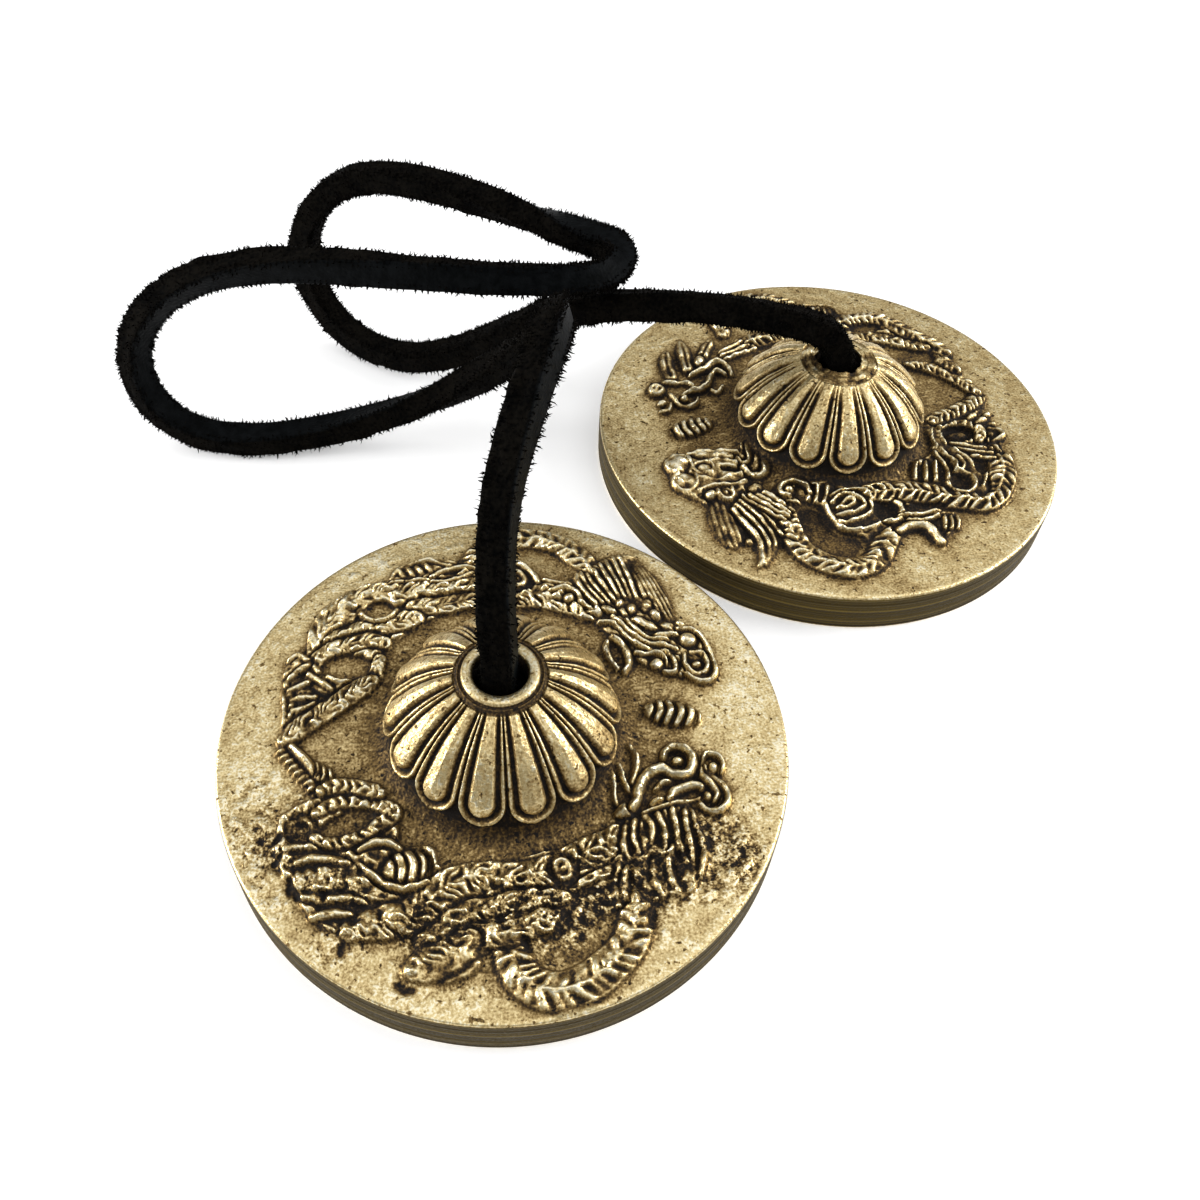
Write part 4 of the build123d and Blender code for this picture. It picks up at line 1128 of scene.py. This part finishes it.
def second_head(c):
    """Second dragon: horn and whisker curls, eye, snout and jaw."""
    c.ridge([(11.2, -10.9), (11.5, -12.9), (12.5, -13.9), (13.8, -13.7), (15.0, -12.7), (17.5, -11.4)],
            0.55, 1.2)
    c.ridge([(13.0, -8.4), (14.2, -7.4), (15.2, -8.0)], 0.45, 0.9)
    c.ridge([(17.5, -9.0), (18.5, -9.9), (20.5, -10.0), (23.5, -10.4)], 0.42, 1.15)
    c.ridge([(21.5, -5.5), (22.0, -4.3), (23.4, -4.1)], 0.36, 1.1)
    c.mound((22.8, -5.8), 0.85, 0.6, 20, 1.2)
    c.mound((23.1, -8.7), 1.7, 1.55, 0, 1.35, 0.95, 0.5)
    c.ridge([(19.6, -7.0), (18.4, -7.8), (16.6, -8.1), (15.4, -9.0), (14.6, -10.8), (13.5, -11.9),
            (12.2, -11.2)], 0.5, 1.35)
    c.ridge([(17.4, -6.2), (17.8, -5.1), (19.0, -4.7), (20.3, -5.2), (20.8, -6.3), (21.4, -7.6)], 0.36,
            1.25)
    c.mound((19.4, -6.2), 0.8, 0.65, 0, 1.25)


def draw_rear_ornament(c):
    """Dragons and pearl of the rear cymbal, about the line from its centre to the pearl."""
    for draw_section in (
        rear_bodies,
        first_body,
        first_hind_part,
        first_mane,
        first_head,
        second_hind_part,
        second_body,
        second_mane,
        second_head,
    ):
        draw_section(c)
    draw_pearl(c, (19.5, -0.4), 14)


def blurred(grid, radius_rows, radius_columns):
    """Gaussian-like mean over a grid that closes on itself along its columns."""
    for _ in range(3):
        for axis, size in ((0, radius_rows), (1, radius_columns)):
            if size < 1:
                continue
            padding = [(0, 0), (0, 0)]
            padding[axis] = (size + 1, size)
            padded = np.pad(grid, padding, mode="wrap" if axis else "edge")
            total = np.cumsum(padded, axis=axis)
            span = 2 * size + 1
            if axis == 0:
                grid = (total[span:] - total[:-span]) / span
            else:
                grid = (total[:, span:] - total[:, :-span]) / span
    return grid


def evened(grid, radius_rows, radius_columns):
    """Blurred values, scaled to a spread of one."""
    grid = blurred(grid, radius_rows, radius_columns)
    return grid / grid.std()


# Tones of the casting: 0 is black, from patina and, in the bore and openings, from painted shade; 1 is
# rubbed bright
# The bore and the cavity under the dome take a near-black tone: painted shade inside the hole
PLAIN_TONES = ((BORE, 0.06), (GROOVE, 0.16), (EDGE, 0.86), (SIDE, 0.45), (UNDER, 0.62))
COLLAR_HEIGHTS = [17.8, 18.04, 18.12, 18.3, 18.4]
COLLAR_TONES = [0.1, 0.4, 0.8, 0.72, 0.92]
# Across a petal, from the line beside it to its middle: a thin border, a groove and a smooth tongue
PETAL_STEPS = [-0.1, 0.0, 0.14, 0.32, 0.56, 0.74, 0.9, 1.22, 1.38, 1.65, 2.9]
PETAL_HEIGHTS = [0.0, 0.0, 0.34, 0.6, 0.56, 0.4, 0.16, 0.2, 0.56, 0.82, 1.0]
PETAL_TONES = [0.0, 0.0, 0.30, 0.95, 0.72, 0.4, 0.0, 0.02, 0.55, 0.8, 0.8]
PETAL_HALF_WIDTH = 2.9
PETAL_BORDER = 0.8
# The worn part of the front cymbal, and how far its roughness reaches
WORN_LINE = [
    *((-27.0, -7.0), (-23.0, -13.5), (-17.0, -19.5), (-8.0, -22.0)),
    *((2.0, -21.5), (10.0, -19.5), (17.0, -19.0), (22.0, -20.5)),
]
WORN_REACH = 4.8
COVE_R = 13.0
STANDS = 0.12
# The rear cymbal's collar, worn level with the tops of its petals
WORN_COLLAR_Z = 17.95
WORN_PETALS_R = 7.4


def petal_forms(theta, elevation, turn):
    """Height of the petals over the dome's floor, and their tone."""
    pitch = 2 * math.pi / PETALS
    local = (theta - math.radians(turn) + pitch / 2) % pitch - pitch / 2
    elevation = np.radians(elevation)
    r = DOME_R * np.cos(elevation)
    half = r * pitch / 2
    up = DOME_R * (elevation - math.radians(TIP_ELEVATION))
    q = np.hypot(local * r / half, np.clip((PETAL_TIP - up) / PETAL_TIP, 0, None))
    size = np.clip(half / PETAL_HALF_WIDTH, 0.42, 1.0)
    inward = (1 - q) * half / size
    narrow = 0.25 * np.clip(up / 11.0, 0, 1)
    inner = PETAL_BORDER + (inward - PETAL_BORDER) / (1 + narrow)
    inward = np.where(inward > PETAL_BORDER, inner, inward)
    height = np.interp(inward, PETAL_STEPS, PETAL_HEIGHTS)
    tone = np.interp(inward, PETAL_STEPS, PETAL_TONES)
    top = np.clip((elevation - math.radians(66.0)) / math.radians(3.2), 0, 1)
    height = height * (1 - 0.6 * top) + 0.5 * top
    tone = tone * (1 - 0.35 * top) + 0.2 * top
    swell = 1 + 0.5 * np.clip(1 - up / 5.0, 0, 1)
    return height * PETAL_RISE * swell, tone


def dome_surface(rings, theta, petal_turn):
    """Height and tone of the dome: its petals, a cast skin and blotches where the shine has worn off."""
    floor_r = DOME_R - PETAL_RISE
    elevation = np.degrees(np.arcsin(np.clip((rings[:, 1:] - DOME_Z) / floor_r, -1, 1)))
    height, tone = petal_forms(theta, elevation, petal_turn)
    skin = evened(rng.normal(size=height.shape), 1, 2)
    blotches = evened(rng.normal(size=height.shape), 4, 16)
    worn_off = np.clip(blotches - 0.2, 0, 1.5) * np.clip(1.2 - elevation / 60.0, 0, 1)
    tone += 0.06 * skin - 0.17 * worn_off * np.clip(0.6 + skin, 0, 2)
    return height + 0.012 * skin, tone


def ornament_tone(drawn, raised, radius, open_tone, recess_tone):
    """Tone of the disc and its ornament: dark beside and inside the ornament, bright on its crests."""
    stands = (drawn > STANDS).astype(float)
    inner = np.clip((23.5 - radius) / 5.0, 0, 1)
    flat_tone = open_tone - 0.40 * blurred(stands, 3, 4) - 0.26 * blurred(stands, 9, 11) - 0.27 * inner
    crest = drawn - blurred(drawn, 3, 4)
    relief_tone = recess_tone + 0.75 * (drawn - 0.5) + 1.8 * crest
    return flat_tone * (1 - raised) + relief_tone * raised


def disc_surface(rings, cove_count, across, axis, moat, draw, open_tone, recess_tone, worn_line):
    """Height, tone and roughness of the disc and of the cove inside it, with the cast ornament."""
    shape = across.shape[:2]
    radius = rings[:, :1]
    places = across.reshape(-1, 2)
    relief = Relief(turned(places, -axis), moat)
    draw(relief)
    drawn = blurred(relief.height.reshape(shape), 0, 1) * np.clip((radius - COVE_R) / 0.8, 0, 1)
    grain = rng.normal(size=shape)
    grit = evened(grain, 1, 1)
    lumpy = evened(rng.normal(size=shape), 2, 3)
    slow = evened(rng.normal(size=shape), 5, 7)
    raised = np.clip(drawn / 0.5, 0, 1)
    rough = np.zeros(shape)
    if worn_line:
        far = along_line(soft_line(turned(worn_line, axis)), places)[0].reshape(shape)
        rough = np.exp(-((far / WORN_REACH) ** 2)) * np.clip(0.75 + 0.4 * slow, 0, 1.2)
    drawn = drawn * (1 + raised * 0.13 * lumpy)
    height = drawn + (0.014 + 0.05 * rough + 0.02 * raised) * grit + 0.09 * rough * lumpy

    tone = ornament_tone(drawn, raised, radius, open_tone, recess_tone)
    tone += 0.045 * np.clip(grit, -2.5, 2.5) * (1 - 0.4 * raised) + 0.03 * slow
    tone += rough * np.clip(0.05 * lumpy + 0.2 * grit + 0.12 * grain, -0.7, 0.4)
    crust = rough * np.clip((relief.places[:, 0].reshape(shape) + 8.0) / 14.0, 0, 1)
    tone -= crust * np.clip(0.16 - 0.1 * grit - 0.1 * grain, -0.2, 0.5)
    # Painted shade in the openings, and more of it where the ornament sinks below the disc
    tone -= relief.shade.reshape(shape) + 1.6 * np.clip(-drawn - 0.05, 0, 0.4)
    tone = np.clip(tone, 0.0, 1.0)
    foot = np.clip((radius - COVE_R) / 3.6, 0, 1)
    shadow = 0.16 + 0.36 * foot**0.7 + 0.06 * grit + raised
    tone[:cove_count] = np.minimum(tone, shadow)[:cove_count]
    return height, tone, rough


def wear_collar(profile, zone, height, tone):
    """Rubs the collar down into the tops of the petals, and chips it."""
    dome = (zone == DOME)[:, None]
    near_top = np.clip((WORN_PETALS_R - profile[:, :1]) / 2.2, 0, 1) * dome
    height[:] = height * (1 - 0.75 * near_top) + 0.62 * near_top
    tone[:] = np.where(dome, tone * (1 - near_top) + 0.8 * near_top, tone)
    ring = np.flatnonzero((zone == COLLAR) | (zone == GROOVE))
    r, z = profile[ring, :1], profile[ring, 1:]
    chips = evened(rng.normal(size=(len(ring), SEGMENTS)), 2, 14)
    level = np.interp(r, [3.0, 3.3, 4.2, 5.2], [0.0, -0.35, -0.45, 0.0])
    height[ring] = (WORN_COLLAR_Z - z) * (r > 3.2) + level * 0.2 + 0.1 * chips
    tone[ring] = np.clip(0.55 + 0.22 * chips, 0.1, 0.95)


def ring_mesh(name, verts, attributes):
    """Closed mesh object from a grid of rings of points, with float values kept at its points."""
    count = len(verts)
    i, j = np.meshgrid(np.arange(count), np.arange(SEGMENTS), indexing="ij")
    k, m = (i + 1) % count, (j + 1) % SEGMENTS
    corners = (i * SEGMENTS + j, k * SEGMENTS + j, k * SEGMENTS + m, i * SEGMENTS + m)
    quads = np.stack(corners, -1).reshape(-1, 4)
    mesh = bpy.data.meshes.new(name)
    mesh.vertices.add(count * SEGMENTS)
    mesh.vertices.foreach_set("co", verts.astype(np.float32).ravel())
    mesh.loops.add(quads.size)
    mesh.loops.foreach_set("vertex_index", quads.astype(np.int32).ravel())
    mesh.polygons.add(len(quads))
    mesh.polygons.foreach_set("loop_start", np.arange(0, quads.size, 4, dtype=np.int32))
    mesh.polygons.foreach_set("loop_total", np.full(len(quads), 4, np.int32))
    mesh.update(calc_edges=True)
    mesh.validate()
    mesh.polygons.foreach_set("use_smooth", [True] * len(mesh.polygons))
    for key, values in attributes.items():
        layer = mesh.attributes.new(key, "FLOAT", "POINT")
        layer.data.foreach_set("value", values.astype(np.float32).ravel())
    obj = bpy.data.objects.new(name, mesh)
    scene.collection.objects.link(obj)
    return obj


def cymbal_piece(
    name, centre, draw, petal_turn, axis, moat, open_tone, recess_tone, worn_line, worn_collar
):
    """One casting with its petals, ornament and wear, as a dense mesh of rings."""
    profile, zone = casting_profile()
    shape = (len(profile), SEGMENTS)
    theta = 2 * math.pi * np.arange(SEGMENTS) / SEGMENTS + math.radians(petal_turn)
    around_axis = np.stack([np.cos(theta), np.sin(theta)], -1)
    across = profile[:, :1, None] * around_axis
    height, tone, rough = np.zeros(shape), np.zeros(shape), np.zeros(shape)

    dome = zone == DOME
    height[dome], tone[dome] = dome_surface(profile[dome], theta, petal_turn)
    disc = (zone == COVE) | (zone == FLANGE)
    cove_count = int((zone == COVE).sum())
    height[disc], tone[disc], rough[disc] = disc_surface(
        profile[disc], cove_count, across[disc], axis, moat, draw, open_tone, recess_tone, worn_line
    )
    collar = zone == COLLAR
    tone[collar] = np.interp(profile[collar, 1:], COLLAR_HEIGHTS, COLLAR_TONES)
    for part, value in PLAIN_TONES:
        tone[zone == part] = value
    if worn_collar:
        wear_collar(profile, zone, height, tone)

    ahead = np.roll(profile, -1, axis=0) - np.roll(profile, 1, axis=0)
    ahead[0] = profile[1] - profile[0]
    normal = unit(np.stack([-ahead[:, 1], ahead[:, 0]], -1))
    r = profile[:, :1] + height * normal[:, :1]
    z = profile[:, 1:] + height * normal[:, 1:]
    verts = np.stack([r * around_axis[:, 0], r * around_axis[:, 1], z], -1) * MM + centre
    # Mask of the turned faces, which take lathe lines on a colour kept dark as painted shade
    lathe = np.isin(zone, (SIDE, UNDER))[:, None] * np.ones(SEGMENTS)
    return ring_mesh(name, verts, {"tone": tone, "rough": rough, "lathe": lathe})


front_cymbal = cymbal_piece(
    "front_cymbal_cast",
    FRONT,
    draw_front_ornament,
    petal_turn=4.0,
    axis=11.0,
    moat=0.12,
    open_tone=0.87,
    recess_tone=0.36,
    worn_line=WORN_LINE,
    worn_collar=False,
)
rear_cymbal = cymbal_piece(
    "rear_cymbal_cast",
    REAR,
    draw_rear_ornament,
    petal_turn=14.6,
    axis=186.0,
    moat=0.25,
    open_tone=0.79,
    recess_tone=0.15,
    worn_line=None,
    worn_collar=True,
)
for piece, node in ((front_cymbal, "front_cymbal"), (rear_cymbal, "rear_cymbal")):
    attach(piece, node)
    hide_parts(node)


# Materials
RANGE_KEYS = ("From Min", "From Max", "To Min", "To Max")
BRASS_COLOURS = [
    (0.0, (0.006, 0.004, 0.003)),
    (0.22, (0.044, 0.026, 0.010)),
    (0.48, (0.215, 0.138, 0.050)),
    (0.70, (0.53, 0.392, 0.180)),
    (0.86, (0.76, 0.61, 0.315)),
    (0.95, (0.84, 0.71, 0.41)),
    (1.0, (0.94, 0.86, 0.63)),
]
# Turned side and underside: lathe lines on a brass far darker than the flange, the darkness partly painted
# shade
LATHE_AND_SHADE_COLOURS = [
    (0.34, (0.015, 0.010, 0.003)),
    (0.5, (0.060, 0.041, 0.010)),
    (0.66, (0.17, 0.119, 0.032)),
]
SUEDE_COLOURS = [(0.3, (0.0006, 0.0006, 0.0006)), (0.62, (0.0055, 0.0046, 0.0034))]
SKIN_COLOURS = [(0.35, (0.0012, 0.0016, 0.0018)), (0.65, (0.0042, 0.005, 0.0056))]
BRASS_SPECULAR = 0.25
LEATHER_SPECULAR = 0.03


class Shading:
    """Material under construction. Its methods add a node each and give back what comes out of it."""

    def __init__(self, name):
        self.material = bpy.data.materials.new(name)
        self.material.use_nodes = True
        self.nodes = self.material.node_tree.nodes
        self.link = self.material.node_tree.links.new
        self.shader = self.nodes["Principled BSDF"]
        self.place = self.add("TexCoord").outputs["Object"]

    def add(self, kind):
        return self.nodes.new("ShaderNode" + kind)

    def attribute(self, key):
        node = self.add("Attribute")
        node.attribute_name = key
        return node.outputs["Fac"]

    def noise(self, scale, detail, vector=None):
        node = self.add("TexNoise")
        node.inputs["Scale"].default_value = scale
        node.inputs["Detail"].default_value = detail
        self.link(vector or self.place, node.inputs["Vector"])
        return node.outputs["Fac"]

    def height_only(self):
        """Place of a point with only its height kept."""
        apart = self.add("SeparateXYZ")
        self.link(self.place, apart.inputs[0])
        joined = self.add("CombineXYZ")
        self.link(apart.outputs["Z"], joined.inputs["Z"])
        return joined.outputs[0]

    def ranged(self, value, *limits):
        """Value carried from one range, low and high, to another."""
        node = self.add("MapRange")
        self.link(value, node.inputs["Value"])
        for key, number in zip(RANGE_KEYS, limits):
            node.inputs[key].default_value = number
        return node.outputs["Result"]

    def maths(self, operation, a, b):
        node = self.add("Math")
        node.operation = operation
        self.link(a, node.inputs[0])
        self.link(b, node.inputs[1])
        return node.outputs[0]

    def ramp(self, value, stops):
        node = self.add("ValToRGB")
        elements = node.color_ramp.elements
        while len(elements) < len(stops):
            elements.new(0.5)
        for element, (position, colour) in zip(elements, stops):
            element.position = position
            element.color = (*colour, 1)
        self.link(value, node.inputs["Fac"])
        return node.outputs["Color"]

    def mix(self, factor, a, b):
        node = self.add("Mix")
        node.data_type = "RGBA"
        self.link(factor, node.inputs["Factor"])
        self.link(a, node.inputs[6])
        self.link(b, node.inputs[7])
        return node.outputs[2]

    def bump(self, height, strength, distance, normal=None):
        node = self.add("Bump")
        node.inputs["Strength"].default_value = strength
        node.inputs["Distance"].default_value = distance
        self.link(height, node.inputs["Height"])
        if normal:
            self.link(normal, node.inputs["Normal"])
        return node.outputs["Normal"]

    def finished(self, specular, values):
        """The material, with these values linked to its shader."""
        self.shader.inputs["Specular IOR Level"].default_value = specular
        for key, value in values.items():
            self.link(value, self.shader.inputs[key])
        return self.material


def brass_material():
    """Cast brass, dark where its tone is low (patina, and painted shade in the bore and openings), and
    lathe lines on the turned faces in a colour kept dark as painted shade.
    """
    s = Shading("cast_brass")
    tone = s.attribute("tone")
    fine = s.noise(3400, 3)
    coarse = s.noise(260, 4)
    specks = s.ranged(s.noise(1500, 2), 0.635, 0.70, 0.0, 0.45)
    tone = s.maths("ADD", tone, s.ranged(fine, 0.3, 0.7, -0.20, 0.20))
    tone = s.maths("ADD", tone, s.ranged(coarse, 0.3, 0.7, -0.06, 0.06))
    tone = s.maths("SUBTRACT", tone, specks)
    pitted = s.maths("MULTIPLY", s.attribute("rough"), s.ranged(fine, 0.40, 0.62, 0.30, 0.0))
    tone = s.maths("SUBTRACT", tone, pitted)
    lines = s.noise(2400, 3, s.height_only())
    colour = s.mix(s.attribute("lathe"), s.ramp(tone, BRASS_COLOURS), s.ramp(lines, LATHE_AND_SHADE_COLOURS))
    grains = s.bump(fine, 0.5, 0.00014)
    values = {
        "Base Color": colour,
        "Metallic": s.ranged(tone, 0.1, 0.55, 0.1, 1.0),
        "Roughness": s.ranged(tone, 0.1, 0.9, 0.8, 0.32),
        "Normal": s.bump(specks, 0.5, 0.0001, grains),
    }
    return s.finished(BRASS_SPECULAR, values)


def leather_material():
    """Black leather: smooth skin on the grain face, rough suede elsewhere."""
    s = Shading("thong_leather")
    grain_side = s.attribute("grain")
    fuzz = s.noise(2200, 4)
    patches = s.ranged(s.noise(300, 3), 0.3, 0.7, 0.7, 1.2)
    suede = s.ramp(s.maths("MULTIPLY", fuzz, patches), SUEDE_COLOURS)
    skin = s.ramp(s.noise(700, 3), SKIN_COLOURS)
    values = {
        "Base Color": s.mix(grain_side, suede, skin),
        "Roughness": s.ranged(grain_side, 0.0, 1.0, 0.92, 0.48),
        "Normal": s.bump(fuzz, 0.6, 0.0002),
    }
    return s.finished(LEATHER_SPECULAR, values)


brass = brass_material()
leather = leather_material()
for piece in (front_cymbal, rear_cymbal):
    piece.data.materials.append(brass)
for piece in (front_end, loops, rear_end, front_knot, rear_knot):
    piece.data.materials.append(leather)


# Floor, light and background
FLOOR_HALF = 2.0
FLOOR_COLOUR = (0.9, 0.9, 0.9, 1)
FLOOR_GLOW = 0.35
SKY_AXIS = (0.12, 0.0, 0.993)
SKY_LEVELS = (0.36, 0.88, 0.14, 1.18)


def floor_material():
    """Pale floor that glows a little where it is seen or reflected, so that it shows near white."""
    material = bpy.data.materials.new("floor")
    material.use_nodes = True
    nodes, link = material.node_tree.nodes, material.node_tree.links.new
    nodes.clear()
    output = nodes.new("ShaderNodeOutputMaterial")
    diffuse = nodes.new("ShaderNodeBsdfDiffuse")
    diffuse.inputs["Color"].default_value = FLOOR_COLOUR
    glow = nodes.new("ShaderNodeEmission")
    glow.inputs["Strength"].default_value = FLOOR_GLOW
    both = nodes.new("ShaderNodeAddShader")
    link(diffuse.outputs[0], both.inputs[0])
    link(glow.outputs[0], both.inputs[1])
    path = nodes.new("ShaderNodeLightPath")
    seen = path.outputs["Is Camera Ray"]
    for key in ("Is Glossy Ray", "Is Transmission Ray"):
        either = nodes.new("ShaderNodeMath")
        either.operation = "MAXIMUM"
        link(seen, either.inputs[0])
        link(path.outputs[key], either.inputs[1])
        seen = either.outputs[0]
    mixed = nodes.new("ShaderNodeMixShader")
    link(seen, mixed.inputs["Fac"])
    link(diffuse.outputs[0], mixed.inputs[1])
    link(both.outputs[0], mixed.inputs[2])
    link(mixed.outputs[0], output.inputs["Surface"])
    return material


def plain_floor():
    corners = [(x * FLOOR_HALF, y * FLOOR_HALF, 0) for x, y in ((-1, -1), (1, -1), (1, 1), (-1, 1))]
    floor = new_object("floor", corners, [(0, 1, 2, 3)])
    floor.data.materials.append(floor_material())


def studio_world():
    """Soft light from above, dim towards the horizon."""
    world = bpy.data.worlds.new("world")
    scene.world = world
    world.use_nodes = True
    nodes, link = world.node_tree.nodes, world.node_tree.links.new
    nodes.clear()
    output = nodes.new("ShaderNodeOutputWorld")
    light = nodes.new("ShaderNodeBackground")
    light.inputs["Color"].default_value = (1.0, 1.0, 1.0, 1)
    place = nodes.new("ShaderNodeTexCoord")
    towards = nodes.new("ShaderNodeVectorMath")
    towards.operation = "DOT_PRODUCT"
    towards.inputs[1].default_value = SKY_AXIS
    level = nodes.new("ShaderNodeMapRange")
    for key, number in zip(RANGE_KEYS, SKY_LEVELS):
        level.inputs[key].default_value = number
    link(place.outputs["Generated"], towards.inputs[0])
    link(towards.outputs["Value"], level.inputs["Value"])
    link(level.outputs["Result"], light.inputs["Strength"])
    link(light.outputs[0], output.inputs["Surface"])


def area_lamp(name, place, target, size, power):
    """Square lamp that looks at a target."""
    data = bpy.data.lights.new(name, "AREA")
    data.shape = "SQUARE"
    data.size = size
    data.energy = power
    lamp = bpy.data.objects.new(name, data)
    lamp.location = place
    x, y, z = np.array(target) - np.array(place)
    lamp.rotation_euler = (math.atan2(math.hypot(x, y), -z), 0.0, math.atan2(y, x) - math.pi / 2)
    scene.collection.objects.link(lamp)


plain_floor()
studio_world()
area_lamp("key", (-0.50, 0.00, 0.13), (0.0, 0.0, 0.0), 0.22, 2.2)
area_lamp("fill", (0.50, 0.04, 0.24), (0.0, 0.0, 0.0), 0.25, 2.0)
scene.view_settings.view_transform = "Standard"
